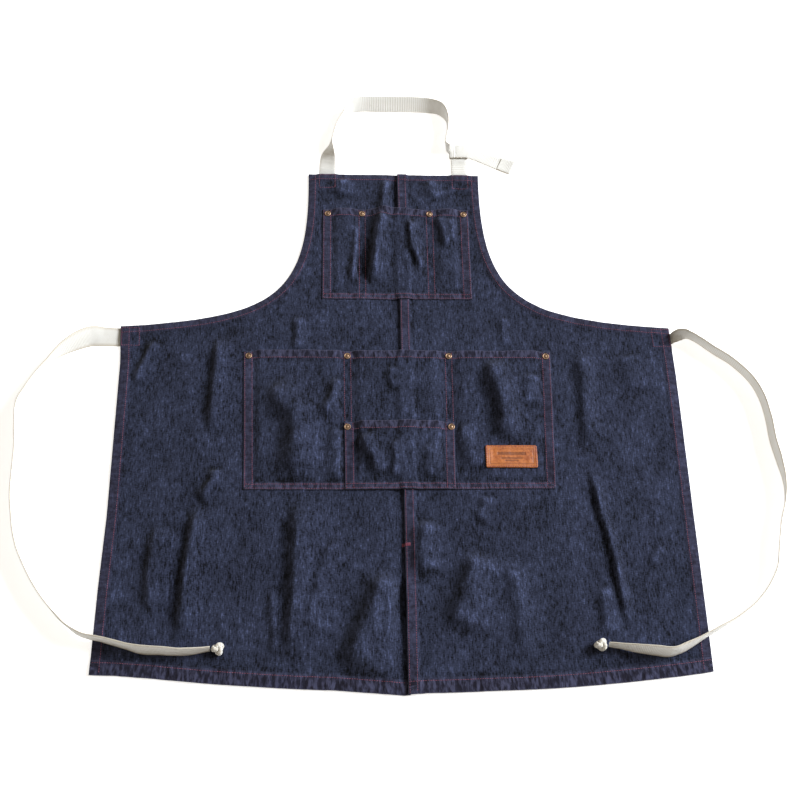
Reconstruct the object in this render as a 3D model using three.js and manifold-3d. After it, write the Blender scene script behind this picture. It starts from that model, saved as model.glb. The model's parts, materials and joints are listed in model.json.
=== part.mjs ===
// A denim work apron, laid flat on its back. Millimetres, +Z up out of the apron's front,
// +Y towards the bib, +X towards the wearer's left hand.
// The origin is on the underside of the centre seam, level with the waistline.
import * as THREE from "three";
import { mergeVertices } from "three/addons/utils/BufferGeometryUtils.js";
import Module from "manifold-3d";

const wasm = await Module();
wasm.setup();

// ---------- driving dimensions ----------
const CLEARANCE = 0.3; // between pieces that touch
const DENIM = 0.9; // thickness of one layer of denim
const WEBBING = 1.5; // thickness of the cotton webbing

const BIB_WIDTH = 272;
const BIB_HEIGHT = 276; // waistline to the bib's top edge
const SKIRT_WIDTH = 828;
const SKIRT_SIDE = 514; // waistline to the hem's corners
const HEM_BOW = 33; // how far the hem's middle hangs below its corners
const ARMHOLE_PULL = { x: -5.5, y: 43.4 }; // the armhole curve's upper handle: x from the bib's edge, y up
const ARMHOLE_REACH = { x: 0.45, y: 18.2 }; // its lower handle: share of the skirt's half width, y up

const SEAM_X = 7; // the centre seam lies this far right of the middle
const SEAM_LAP = 13;
const VENT = 205; // open length below the seam
const SIDE_HEM = 14;
const HEM = 18;
const ARMHOLE_HEM = 12;

const STRAP_WIDTH = 25; // neck webbing
const STRAP_INSET = 30; // bib's side to the middle of a sewn end
const STRAP_SEWN = 28;
const STRAP_RISE = 134; // bib's top edge to the middle of the strap's far side
const HINGE_ROOM = 1.5; // bib's top edge to the line the neck loop folds on
const WRAP_MIDDLE = 45; // bib's top edge to the middle of the wrap round the tab
const TIE_WIDTH = 30;
const TIE_SEWN = 27;
const TIE_DROP = 17; // waistline to the middle of the tie's sewn end
const KNOT = { length: 21, width: 20, height: 18 };

const BIB_POCKET_SHIFT = 2; // right of the bib's middle
const BIB_POCKET_BELOW = 67; // bib's top edge to the pocket's mouth
const BIB_POCKET_INSET = 21.5; // bib's side to the pocket's side, were the pocket in the middle
const BIB_POCKET_SIZE = { height: 161, divider: 53, gape: 6 };
const WAIST_POCKET = { x: 1, top: -41, height: 219, topWidth: 458, bottomWidth: 444, divider: 75.5, gape: 6 };
const SMALL_POCKET = { height: 104, overhang: 4.5, gape: 6 };
const POCKET_SEWN_BOTTOM = 10;

const LABEL = { width: 75, height: 34, thickness: 1.8, fromSide: 24, fromBottom: 32 };
const RIVET = { head: 10, rise: 1.9, shank: 3, burr: 8.4, burrThickness: 1, drop: 8, inset: 7.5 };
const RIVET_ROOM = 1; // flat cloth beyond a rivet's head
const BARTACK = { width: 11, height: 2.4, thickness: 0.7 };

// ---------- levels, worked out from the thicknesses ----------
const TURNED = 2 * DENIM; // the turned hem under the cloth
const BACK = Math.max(TURNED, WEBBING + CLEARANCE); // underside of the single cloth
const FRONT = BACK + DENIM;
const LAP_TOP = BACK - CLEARANCE; // the seam's allowance under the other half
const POCKET_BASE = FRONT + CLEARANCE;
const SECOND_BASE = POCKET_BASE + DENIM + CLEARANCE;
const HALF_SKIRT = SKIRT_WIDTH / 2;
const HALF_BIB = BIB_WIDTH / 2;
const HINGE_Y = BIB_HEIGHT + HINGE_ROOM;
const HINGE_GAP = (WEBBING + CLEARANCE) / 2; // between the fold's line and the webbing on each side of it
const TAB_X = HALF_BIB - STRAP_INSET;
const UP = [0, 0, 1];
const EAST = [1, 0, 0];
const NORTH = [0, 1, 0];

// ---------- materials ----------
const denim = new THREE.MeshStandardMaterial({ color: 0x2a2f4e, roughness: 0.95, metalness: 0 });
const cotton = new THREE.MeshStandardMaterial({ color: 0xe9e7de, roughness: 0.9, metalness: 0 });
const copper = new THREE.MeshStandardMaterial({ color: 0xb98a58, roughness: 0.4, metalness: 1 });
const leather = new THREE.MeshStandardMaterial({ color: 0xb4622e, roughness: 0.6, metalness: 0 });
const thread = new THREE.MeshStandardMaterial({ color: 0x8a2a4a, roughness: 0.8, metalness: 0 });

// ---------- joining and cutting ----------
function solidOf(geometry) {
  const bare = geometry.clone();
  bare.deleteAttribute("normal");
  bare.deleteAttribute("uv");
  const merged = mergeVertices(bare, 1e-4);
  const vertProperties = new Float32Array(merged.attributes.position.array);
  const triVerts = new Uint32Array(merged.index.array);
  return new wasm.Manifold(new wasm.Mesh({ numProp: 3, vertProperties, triVerts }));
}

function geometryOf(solid) {
  const mesh = solid.getMesh();
  const geometry = new THREE.BufferGeometry();
  geometry.setAttribute("position", new THREE.BufferAttribute(new Float32Array(mesh.vertProperties), 3));
  geometry.setIndex(new THREE.BufferAttribute(new Uint32Array(mesh.triVerts), 1));
  geometry.computeVertexNormals();
  return geometry;
}

function joined(parts) {
  return parts.reduce((whole, part) => whole.add(part));
}

// a flat solid over an outline, from one level to another
function slab(outline, low, high) {
  const geometry = new THREE.ExtrudeGeometry(new THREE.Shape(outline), { depth: high - low, bevelEnabled: false });
  return solidOf(geometry.translate(0, 0, low));
}

function block(x0, x1, y0, y1, z0, z1) {
  const geometry = new THREE.BoxGeometry(x1 - x0, y1 - y0, z1 - z0);
  return solidOf(geometry.translate((x0 + x1) / 2, (y0 + y1) / 2, (z0 + z1) / 2));
}

// ---------- the two halves of the body ----------
function armhole(side) {
  return new THREE.CubicBezierCurve(
    new THREE.Vector2(side * HALF_BIB, BIB_HEIGHT),
    new THREE.Vector2(side * (HALF_BIB + ARMHOLE_PULL.x), ARMHOLE_PULL.y),
    new THREE.Vector2(side * HALF_SKIRT * ARMHOLE_REACH.x, ARMHOLE_REACH.y),
    new THREE.Vector2(side * HALF_SKIRT, 0),
  ).getPoints(18);
}

function hemHeight(x) {
  return -SKIRT_SIDE - HEM_BOW * (1 - (x / HALF_SKIRT) ** 2);
}

// the hem's points from the side to the seam
function hemLine(side, seam) {
  const steps = 10;
  return Array.from({ length: steps + 1 }, (_, i) => {
    const x = side * HALF_SKIRT + (seam - side * HALF_SKIRT) * (i / steps);
    return new THREE.Vector2(x, hemHeight(x));
  });
}

// the turned hem: a band inside the edge, on the side that the body lies
function turnedHem(edge, width, inward) {
  const inner = edge.map((point, i) => {
    const before = edge[Math.max(i - 1, 0)];
    const after = edge[Math.min(i + 1, edge.length - 1)];
    const along = after.clone().sub(before).normalize();
    return new THREE.Vector2(point.x - along.y * width * inward, point.y + along.x * width * inward);
  });
  return slab([...edge, ...inner.reverse()], 0, BACK + DENIM / 2);
}

function bodyHalf(side) {
  const seam = SEAM_X + (side * CLEARANCE) / 2;
  const top = new THREE.Vector2(seam, BIB_HEIGHT);
  const curve = armhole(side);
  const hem = hemLine(side, seam);
  const ventTop = hemHeight(SEAM_X) + VENT;
  const sideEdge = [curve.at(-1), hem[0]];
  const bands = [
    turnedHem([top, curve[0]], ARMHOLE_HEM, -side),
    turnedHem(curve, ARMHOLE_HEM, -side),
    turnedHem(sideEdge, SIDE_HEM, -side),
    turnedHem(hem, HEM, -side),
    turnedHem([hem.at(-1), new THREE.Vector2(seam, ventTop)], SEAM_LAP, -side),
  ];
  const outline = slab([top, ...curve, ...hem], BACK, FRONT);
  // the bands of a bowed edge reach past the corners, so they are trimmed to the outline
  const trimmed = joined(bands).intersect(slab([top, ...curve, ...hem], -1, FRONT));
  const half = outline.add(trimmed);
  return side < 0 ? withLap(half, ventTop) : withRoomForLap(half, ventTop);
}

// the left half's seam allowance passes under the right half
function withLap(half, ventTop) {
  const edge = SEAM_X - CLEARANCE / 2;
  const root = block(edge - SEAM_LAP, edge, ventTop, BIB_HEIGHT, 0, BACK + DENIM / 2);
  const lap = block(edge - SEAM_LAP, edge + SEAM_LAP, ventTop, BIB_HEIGHT, 0, LAP_TOP);
  return joined([half, root, lap]);
}

function withRoomForLap(half, ventTop) {
  const reach = SEAM_X + SEAM_LAP + CLEARANCE;
  return half.subtract(block(SEAM_X - 1, reach, ventTop - CLEARANCE, BIB_HEIGHT + 1, -1, BACK));
}

// room in the turned hems for the webbing that is sewn under them
function sewnEndRoom(x, y, halfX, halfY) {
  const room = CLEARANCE;
  return block(x - halfX - room, x + halfX + room, y - halfY - room, y + halfY + room, -1, BACK);
}

function panel(side) {
  const strap = sewnEndRoom(side * TAB_X, BIB_HEIGHT - STRAP_SEWN / 2 + 2, STRAP_WIDTH / 2, STRAP_SEWN / 2 + 2);
  const tie = sewnEndRoom(side * (HALF_SKIRT - TIE_SEWN / 2 + 2), -TIE_DROP, TIE_SEWN / 2 + 2, TIE_WIDTH / 2);
  const holes = rivetPlaces().map(({ x, y }) => shankHole(x, y));
  return [strap, tie, ...holes].reduce((left, cut) => left.subtract(cut), bodyHalf(side));
}

// ---------- pockets ----------
// the cloth lies flat beside a sewn line, as far as the rivets' heads reach
const DIVIDER_FLAT = RIVET.head / 2 + RIVET_ROOM;
const SIDE_FLAT = RIVET.inset + DIVIDER_FLAT;

const bibPocket = {
  x: BIB_POCKET_SHIFT,
  top: BIB_HEIGHT - BIB_POCKET_BELOW,
  topWidth: BIB_WIDTH - 2 * BIB_POCKET_INSET,
  bottomWidth: BIB_WIDTH - 2 * BIB_POCKET_INSET,
  ...BIB_POCKET_SIZE,
};

// where each compartment's cloth is free to lift, from left to right
function compartments(pocket) {
  const half = pocket.topWidth / 2;
  const inner = pocket.divider - DIVIDER_FLAT;
  const outer = [pocket.divider + DIVIDER_FLAT, half - SIDE_FLAT];
  return [[-outer[1], -outer[0]], [-inner, inner], outer];
}

// 0 where the cloth is sewn down, 1 in the middle of a compartment
function arch(pocket, x) {
  const place = x - pocket.x;
  const free = compartments(pocket).find(([low, high]) => place > low && place < high);
  return free ? Math.sin((Math.PI * (place - free[0])) / (free[1] - free[0])) ** 0.6 : 0;
}

// 0 along the sewn bottom, 1 from a hand's breadth up to the mouth
function fill(pocket, y) {
  const above = y - (pocket.top - pocket.height) - POCKET_SEWN_BOTTOM;
  const ramp = pocket.height / 4;
  return Math.sin((Math.PI / 2) * Math.min(Math.max(above / ramp, 0), 1));
}

function pocketRise(pocket, x, y) {
  return pocket.gape * arch(pocket, x) * fill(pocket, y);
}

// columns of a compartment, close together where the cloth turns
function columnsOf([low, high]) {
  const shares = [0, 0.06, 0.17, 0.33, 0.5, 0.67, 0.83, 0.94, 1];
  return shares.map((share) => low + (high - low) * share);
}

// a sheet over columns and rows, lifted point by point
function liftedSheet(columns, rows, thickness, place) {
  const sheet = new THREE.BoxGeometry(1, 1, 1, columns.length - 1, rows.length - 1, 1);
  const points = sheet.attributes.position;
  for (let i = 0; i < points.count; i++) {
    const column = columns[Math.round((points.getX(i) + 0.5) * (columns.length - 1))];
    const row = rows[Math.round((points.getY(i) + 0.5) * (rows.length - 1))];
    const { x, y, z } = place(column, row);
    points.setXYZ(i, x, y, z + (points.getZ(i) + 0.5) * thickness);
  }
  return solidOf(sheet);
}

function pocketRows(pocket) {
  const bottom = pocket.top - pocket.height;
  const ramp = pocket.height / 4;
  const turns = [0, 0.2, 0.45, 0.7, 1].map((share) => bottom + POCKET_SEWN_BOTTOM + ramp * share);
  return [bottom, ...turns, (turns.at(-1) + pocket.top) / 2, pocket.top];
}

function dividedPocket(pocket) {
  const half = pocket.topWidth / 2;
  const columns = [-half, ...compartments(pocket).flatMap(columnsOf), half];
  return liftedSheet(columns, pocketRows(pocket), DENIM, (column, y) => {
    const down = (pocket.top - y) / pocket.height;
    const narrowing = 1 + (pocket.bottomWidth / pocket.topWidth - 1) * down;
    const z = POCKET_BASE + pocketRise(pocket, pocket.x + column, y);
    return { x: pocket.x + column * narrowing, y, z };
  });
}

// the small pocket is sewn over the waist pocket's middle compartment
const smallPocket = {
  x: WAIST_POCKET.x,
  top: WAIST_POCKET.top - WAIST_POCKET.height + SMALL_POCKET.height,
  height: SMALL_POCKET.height,
  topWidth: 2 * (WAIST_POCKET.divider + SMALL_POCKET.overhang),
  divider: WAIST_POCKET.divider,
  gape: SMALL_POCKET.gape,
};

function smallPocketSolid() {
  const half = smallPocket.topWidth / 2;
  const columns = [-half, ...columnsOf(compartments(smallPocket)[1]), half];
  return liftedSheet(columns, pocketRows(smallPocket), DENIM, (column, y) => {
    const down = (WAIST_POCKET.top - y) / WAIST_POCKET.height;
    const narrowing = 1 + (WAIST_POCKET.bottomWidth / WAIST_POCKET.topWidth - 1) * down;
    const x = smallPocket.x + column;
    const z = SECOND_BASE + pocketRise(WAIST_POCKET, x, y) + pocketRise(smallPocket, x, y);
    return { x: smallPocket.x + column * narrowing, y, z };
  });
}

function label() {
  const right = WAIST_POCKET.x + WAIST_POCKET.bottomWidth / 2 - LABEL.fromSide;
  const bottom = WAIST_POCKET.top - WAIST_POCKET.height + LABEL.fromBottom;
  const columns = Array.from({ length: 9 }, (_, i) => right - LABEL.width + (LABEL.width * i) / 8);
  const rows = Array.from({ length: 5 }, (_, i) => bottom + (LABEL.height * i) / 4);
  // it bridges the facets of the cloth beneath, so it stands a little higher than they do
  const room = 0.15 * WAIST_POCKET.gape;
  return liftedSheet(columns, rows, LABEL.thickness, (x, y) => ({
    x,
    y,
    z: SECOND_BASE + room + pocketRise(WAIST_POCKET, x, y),
  }));
}

// ---------- rivets ----------
function rivetPlaces() {
  const row = (pocket, offsets, seat) =>
    offsets.map((offset) => ({ x: pocket.x + offset, y: pocket.top - RIVET.drop, seat }));
  const corner = (pocket) => pocket.topWidth / 2 - RIVET.inset;
  const four = (pocket) => [-corner(pocket), -pocket.divider, pocket.divider, corner(pocket)];
  return [
    ...row(bibPocket, four(bibPocket), SECOND_BASE),
    ...row(WAIST_POCKET, four(WAIST_POCKET), SECOND_BASE),
    ...row(smallPocket, [-smallPocket.divider, smallPocket.divider], SECOND_BASE + DENIM + CLEARANCE),
  ];
}

const ROUND = 14; // facets of a rivet

function turned(profile, x, y, z) {
  const points = profile.map(([radius, height]) => new THREE.Vector2(radius, height));
  const geometry = new THREE.LatheGeometry(points, ROUND);
  return solidOf(geometry.rotateX(Math.PI / 2).translate(x, y, z));
}

function shankHole(x, y) {
  const radius = RIVET.shank / 2 + CLEARANCE;
  const hole = new THREE.CylinderGeometry(radius, radius, 4 * SECOND_BASE, ROUND);
  return solidOf(hole.rotateX(Math.PI / 2).translate(x, y, 0));
}

function rivetCap({ x, y, seat }) {
  const head = RIVET.head / 2;
  const shank = RIVET.shank / 2;
  const foot = BACK - CLEARANCE - RIVET.burrThickness - seat;
  const profile = [
    [0, foot],
    [shank, foot],
    [shank, 0],
    [head, 0],
    [head, RIVET.rise * 0.35],
    [head * 0.78, RIVET.rise * 0.9],
    [head * 0.5, RIVET.rise * 0.65],
    [head * 0.28, RIVET.rise],
    [0, RIVET.rise],
  ];
  return turned(profile, x, y, seat);
}

function rivetBurr({ x, y }) {
  const bore = RIVET.shank / 2 + CLEARANCE;
  const profile = [
    [bore, 0],
    [RIVET.burr / 2, 0],
    [RIVET.burr / 2, RIVET.burrThickness * 0.6],
    [bore, RIVET.burrThickness],
    [bore, 0],
  ];
  return turned(profile, x, y, BACK - CLEARANCE - RIVET.burrThickness);
}

// ---------- webbing ----------
// Each stop on a route is a point, the direction in which the webbing's breadth lies there,
// and its breadth where that is less than the full one.
function ribbon(route, breadth, steps) {
  const curve = new THREE.CatmullRomCurve3(route.map((stop) => new THREE.Vector3(...stop.at)), false, "centripetal");
  const strip = new THREE.BoxGeometry(1, 1, 1, 1, 1, steps);
  const points = strip.attributes.position;
  for (let i = 0; i < points.count; i++) {
    const share = points.getZ(i) + 0.5;
    const reach = share * (route.length - 1);
    const stop = Math.min(Math.floor(reach), route.length - 2);
    const [from, to] = [route[stop], route[stop + 1]];
    const along = curve.getTangent(share);
    const across = new THREE.Vector3(...from.across).lerp(new THREE.Vector3(...to.across), reach - stop);
    across.addScaledVector(along, -across.dot(along)).normalize();
    const out = along.clone().cross(across);
    const broad = THREE.MathUtils.lerp(from.breadth ?? breadth, to.breadth ?? breadth, reach - stop);
    const place = curve.getPoint(share);
    place.addScaledVector(across, points.getX(i) * broad).addScaledVector(out, points.getY(i) * WEBBING);
    points.setXYZ(i, place.x, place.y, place.z);
  }
  return solidOf(strip);
}

function sewnEnd(side) {
  const x = side * TAB_X;
  const half = STRAP_WIDTH / 2;
  return block(x - half, x + half, BIB_HEIGHT - STRAP_SEWN, HINGE_Y - HINGE_GAP, 0, WEBBING);
}

// the neck loop stands on its edge round the opening and leans outwards at its far side
function neckStrap() {
  const x = TAB_X;
  const y = BIB_HEIGHT;
  const flat = WEBBING / 2;
  const high = STRAP_WIDTH / 2;
  // the strap meets the wrap at a slant, so it stops half its thickness short
  const wrapSide = TAB_X - wrapHalfWidth() - CLEARANCE - WEBBING / 2;
  const route = [
    { at: [-x, HINGE_Y + HINGE_GAP, flat], across: EAST },
    { at: [-x, y + 12, flat + 0.6], across: EAST },
    { at: [-x + 1, y + 32, 5.5], across: [0.9, 0, 0.36] },
    { at: [-x + 5, y + 56, 11.5], across: [0.25, 0, 1] },
    { at: [-x + 14, y + 84, high], across: UP },
    { at: [-x + 25, y + 107, high], across: UP },
    { at: [-x + 36, y + STRAP_RISE - 7, high - 1], across: [-0.2, 0.25, 0.9] },
    { at: [-x + 54, y + STRAP_RISE, high - 2.5], across: [0, 0.62, 0.75] },
    { at: [-x + 90, y + STRAP_RISE + 1, high - 3], across: [0, 0.75, 0.66] },
    { at: [-x + 130, y + STRAP_RISE + 1, high - 3], across: [0, 0.75, 0.66] },
    { at: [-x + 164, y + STRAP_RISE - 1, high - 2.5], across: [0.1, 0.6, 0.75] },
    { at: [-x + 184, y + STRAP_RISE - 8, high - 1], across: [0.25, 0.25, 0.9] },
    { at: [wrapSide - 1.7, y + STRAP_RISE - 26, high], across: UP },
    { at: [wrapSide - 1.2, y + STRAP_RISE - 50, high], across: UP },
    { at: [wrapSide - 3.7, y + WRAP_MIDDLE + high + 4.5, high], across: [-0.15, 0, 1] },
    { at: [wrapSide - 5.2, y + WRAP_MIDDLE + high - 6.5, high], across: [-0.15, 0, 1] },
    { at: [wrapSide, y + WRAP_MIDDLE, high], across: UP },
  ];
  return ribbon(route, STRAP_WIDTH, 62);
}

function neckTab() {
  const flat = WEBBING / 2;
  const lifted = WEBBING + CLEARANCE + flat;
  const route = [
    { at: [TAB_X, HINGE_Y + HINGE_GAP, flat], across: EAST },
    { at: [TAB_X, BIB_HEIGHT + WRAP_MIDDLE - 22, flat + 0.5], across: EAST },
    { at: [TAB_X, BIB_HEIGHT + WRAP_MIDDLE - 14, lifted], across: EAST },
    { at: [TAB_X, BIB_HEIGHT + WRAP_MIDDLE, lifted], across: EAST },
    { at: [TAB_X, BIB_HEIGHT + WRAP_MIDDLE + 11, lifted], across: EAST },
  ];
  return ribbon(route, STRAP_WIDTH, 12);
}

// inside the wrap lie the tab and the strap's own running end
function wrapHalfWidth() {
  return STRAP_WIDTH / 2 + CLEARANCE + WEBBING;
}

function neckWrap() {
  const half = wrapHalfWidth();
  const inside = half - WEBBING;
  const height = 4 * WEBBING + 3 * CLEARANCE;
  const corner = 0.7;
  const outline = new THREE.Shape();
  outline.moveTo(-half + corner, 0).lineTo(half - corner, 0).lineTo(half, corner);
  outline.lineTo(half, height - corner).lineTo(half - corner, height).lineTo(-half + corner, height);
  outline.lineTo(-half, height - corner).lineTo(-half, corner);
  const hollow = new THREE.Path();
  hollow.moveTo(-inside, WEBBING).lineTo(inside, WEBBING).lineTo(inside, height - WEBBING);
  hollow.lineTo(-inside, height - WEBBING);
  outline.holes.push(hollow);
  const ring = new THREE.ExtrudeGeometry(outline, { depth: STRAP_WIDTH, bevelEnabled: false });
  ring.rotateX(Math.PI / 2).translate(TAB_X, BIB_HEIGHT + WRAP_MIDDLE + STRAP_WIDTH / 2, 0);
  const exit = neckTailRoom();
  return solidOf(ring).subtract(exit);
}

// the running end leaves through the wrap's right-hand turn
function neckTailRoom() {
  const level = 2 * (WEBBING + CLEARANCE);
  const y = BIB_HEIGHT + WRAP_MIDDLE;
  const reach = TAB_X + wrapHalfWidth() + 1;
  const half = STRAP_WIDTH / 2 - 1.5;
  return block(TAB_X + 6, reach, y - half, y + half, level - CLEARANCE, level + WEBBING + CLEARANCE);
}

function neckTail() {
  const level = 2 * (WEBBING + CLEARANCE) + WEBBING / 2;
  const y = BIB_HEIGHT + WRAP_MIDDLE;
  const inside = STRAP_WIDTH - 4;
  const out = TAB_X + wrapHalfWidth();
  const slant = [0.28, 0.96, 0];
  const route = [
    { at: [TAB_X - 10, y, level], across: NORTH, breadth: inside },
    { at: [out - 6, y, level], across: NORTH, breadth: inside },
    { at: [out + 2, y, level], across: NORTH, breadth: inside },
    { at: [out + 15, y - 5, level - 1], across: slant },
    { at: [out + 40, y - 16, 1.6], across: slant },
    { at: [out + 58, y - 24, 1.6], across: slant },
    { at: [out + 70, y - 29, 3.5], across: [0.28, 0.94, 0.2] },
  ];
  return ribbon(route, STRAP_WIDTH, 22);
}

// the waist ties stand on edge in a wide loop and end in a knot that rests on the skirt
function tieStart(side) {
  const flat = WEBBING / 2;
  return [
    { at: [side * (HALF_SKIRT - TIE_SEWN), -TIE_DROP, flat], across: NORTH },
    { at: [side * (HALF_SKIRT - 6), -TIE_DROP, flat], across: NORTH },
    { at: [side * (HALF_SKIRT + 3), -TIE_DROP, flat], across: NORTH },
  ];
}

const HIGH = TIE_WIDTH / 2; // middle of a tie that stands on its edge

function leftTieRoute() {
  const x = -HALF_SKIRT;
  const lying = FRONT + CLEARANCE;
  return [
    ...tieStart(-1),
    { at: [x - 22, -17, 2.9], across: [0, 1, 0.12] },
    { at: [x - 39, -19, 7.8], across: [-0.05, 0.9, 0.45] },
    { at: [x - 67, -36, 14.6], across: [-0.1, 0.35, 0.95] },
    { at: [x - 97, -64, HIGH], across: [0.2, -0.15, 1] },
    { at: [x - 126, -109, HIGH], across: [0.3, -0.16, 1] },
    { at: [x - 135.5, -133, HIGH], across: [0.28, -0.08, 1] },
    { at: [x - 133, -170, HIGH], across: [0.22, 0, 1] },
    { at: [x - 129.5, -206, HIGH], across: [0.2, 0, 1] },
    { at: [x - 127.5, -263, HIGH], across: [0.2, 0, 1] },
    { at: [x - 119, -318, HIGH], across: [0.17, 0, 1] },
    { at: [x - 103.5, -361, HIGH], across: [0.1, 0, 1] },
    { at: [x - 73, -411, HIGH], across: [0.05, 0, 1] },
    { at: [x - 39, -449, HIGH + 1], across: UP },
    { at: [x - 14, -466, HIGH + lying + 0.2], across: UP },
    { at: [x + 12.5, -473, HIGH + lying + 0.3], across: [0, 0.02, 1] },
    { at: [x + 39, -480.5, HIGH + lying + 0.2], across: [0, 0.08, 1] },
    { at: [x + 64.5, -487, HIGH + lying + 0.1], across: [0, 0.17, 1] },
    { at: [x + 92.5, -489, HIGH + lying], across: [0, 0.17, 1] },
    { at: [x + 118, -490.5, HIGH + lying - 1.6], across: [0, 0.17, 1], breadth: 26 },
    { at: [x + 139, -489, HIGH + lying - 3.8], across: [0, 0.17, 1], breadth: 21 },
    { at: [x + 157, -486, HIGH + lying - 6], across: [0, 0.17, 1], breadth: 15 },
  ];
}

function rightTieRoute() {
  const x = HALF_SKIRT;
  const lying = FRONT + CLEARANCE;
  return [
    ...tieStart(1),
    { at: [x + 5.5, -16.6, 4], across: [0, 1, 0.22] },
    { at: [x + 10, -16, 9.6], across: [-0.02, 0.8, 0.6] },
    { at: [x + 16, -15.5, 13.8], across: [-0.05, 0.45, 0.9] },
    { at: [x + 26, -17, HIGH + 0.2], across: [-0.08, -0.1, 1] },
    { at: [x + 40, -25, HIGH], across: [-0.07, -0.16, 1] },
    { at: [x + 61, -42, HIGH], across: [-0.12, -0.14, 1] },
    { at: [x + 87, -62, HIGH], across: [-0.09, -0.1, 1] },
    { at: [x + 112, -91, HIGH], across: [-0.09, -0.07, 1] },
    { at: [x + 124, -119, HIGH], across: [-0.1, -0.04, 1] },
    { at: [x + 129.5, -154, HIGH], across: [-0.04, 0, 1] },
    { at: [x + 131, -189, HIGH], across: [-0.03, 0, 1] },
    { at: [x + 135.5, -220, HIGH], across: [-0.09, 0, 1] },
    { at: [x + 138.5, -252, HIGH], across: [-0.18, 0, 1] },
    { at: [x + 135, -281, HIGH], across: [-0.24, 0, 1] },
    { at: [x + 124, -315, HIGH], across: [-0.28, 0, 1] },
    { at: [x + 116, -348, HIGH], across: [-0.3, 0, 1] },
    { at: [x + 107.5, -383, HIGH], across: [-0.28, 0, 1] },
    { at: [x + 92, -408, HIGH], across: [-0.2, 0.1, 1] },
    { at: [x + 67, -434, HIGH], across: [-0.08, 0.05, 1] },
    { at: [x + 36, -454, HIGH + 1], across: UP },
    { at: [x + 10, -468, HIGH + lying], across: [0, 0.03, 1] },
    { at: [x - 4, -475, HIGH + lying + 0.3], across: [0, 0.05, 1] },
    { at: [x - 20, -483.5, HIGH + lying + 0.2], across: [0, 0.06, 1] },
    { at: [x - 41, -493, HIGH + lying + 0.2], across: [0, 0.07, 1] },
    { at: [x - 55.5, -497, HIGH + lying + 0.2], across: [0, 0.07, 1] },
    { at: [x - 75.5, -495, HIGH + lying + 0.2], across: [0, 0.07, 1] },
    { at: [x - 102, -491, HIGH + lying - 1.8], across: [0, 0.1, 1], breadth: 25 },
    { at: [x - 124, -487, HIGH + lying - 4.6], across: [0, 0.1, 1], breadth: 18 },
    { at: [x - 137, -485, HIGH + lying - 6], across: [0, 0.1, 1], breadth: 15 },
  ];
}

function knot(route) {
  const [x, y] = route.at(-1).at;
  const way = Math.sign(x - route.at(-2).at[0]);
  const ball = new THREE.SphereGeometry(0.5, 14, 9).rotateX(Math.PI / 2);
  ball.scale(KNOT.length, KNOT.width, KNOT.height);
  const height = FRONT + CLEARANCE + KNOT.height / 2;
  // the facets near its middle stand back from the sphere, so the webbing stops short of it
  return solidOf(ball.translate(x + way * (KNOT.length / 2 + CLEARANCE), y, height));
}

function bartack() {
  const y = hemHeight(SEAM_X) + VENT;
  const half = BARTACK.width / 2;
  return block(SEAM_X - half, SEAM_X + half, y, y + BARTACK.height, POCKET_BASE, POCKET_BASE + BARTACK.thickness);
}

// ---------- the apron ----------
const apron = new THREE.Group();

function add(name, solid, material) {
  const mesh = new THREE.Mesh(geometryOf(solid), material);
  mesh.name = name;
  apron.add(mesh);
}

function withShankHoles(solid) {
  return rivetPlaces().reduce((left, { x, y }) => left.subtract(shankHole(x, y)), solid);
}

add("left_panel", panel(-1), denim);
add("right_panel", panel(1), denim);
add("bib_pocket", withShankHoles(dividedPocket(bibPocket)), denim);
add("waist_pocket", withShankHoles(dividedPocket(WAIST_POCKET)), denim);
add("small_pocket", withShankHoles(smallPocketSolid()), denim);
add("leather_label", label(), leather);
add("vent_bartack", bartack(), thread);
add("neck_strap_sewn_end", sewnEnd(-1), cotton);
add("neck_tab_sewn_end", sewnEnd(1), cotton);
add("neck_strap", neckStrap(), cotton);
add("neck_tab", neckTab(), cotton);
add("neck_strap_wrap", neckWrap(), cotton);
add("neck_strap_running_end", neckTail(), cotton);
add("left_tie", ribbon(leftTieRoute(), TIE_WIDTH, 72), cotton);
add("right_tie", ribbon(rightTieRoute(), TIE_WIDTH, 75), cotton);
add("left_tie_knot", knot(leftTieRoute()), cotton);
add("right_tie_knot", knot(rightTieRoute()), cotton);
rivetPlaces().forEach((place, i) => {
  add(`rivet_cap_${i + 1}`, rivetCap(place), copper);
  add(`rivet_burr_${i + 1}`, rivetBurr(place), copper);
});

export default apron;
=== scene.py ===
# %% [markdown]
# # A denim work apron, laid flat
# The apron lies on its back on a table: a bib and a skirt of indigo denim in two halves, three
# pockets, a leather label, copper rivets, a neck strap of white cotton webbing, and two waist ties
# that end in knots. The frame comes first: it holds the exact places of all the parts, and every
# piece that this lesson makes is measured from it.
# %% Load the frame
import json
import math

import bpy
import numpy as np
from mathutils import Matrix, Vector
from mathutils.bvhtree import BVHTree

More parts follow.
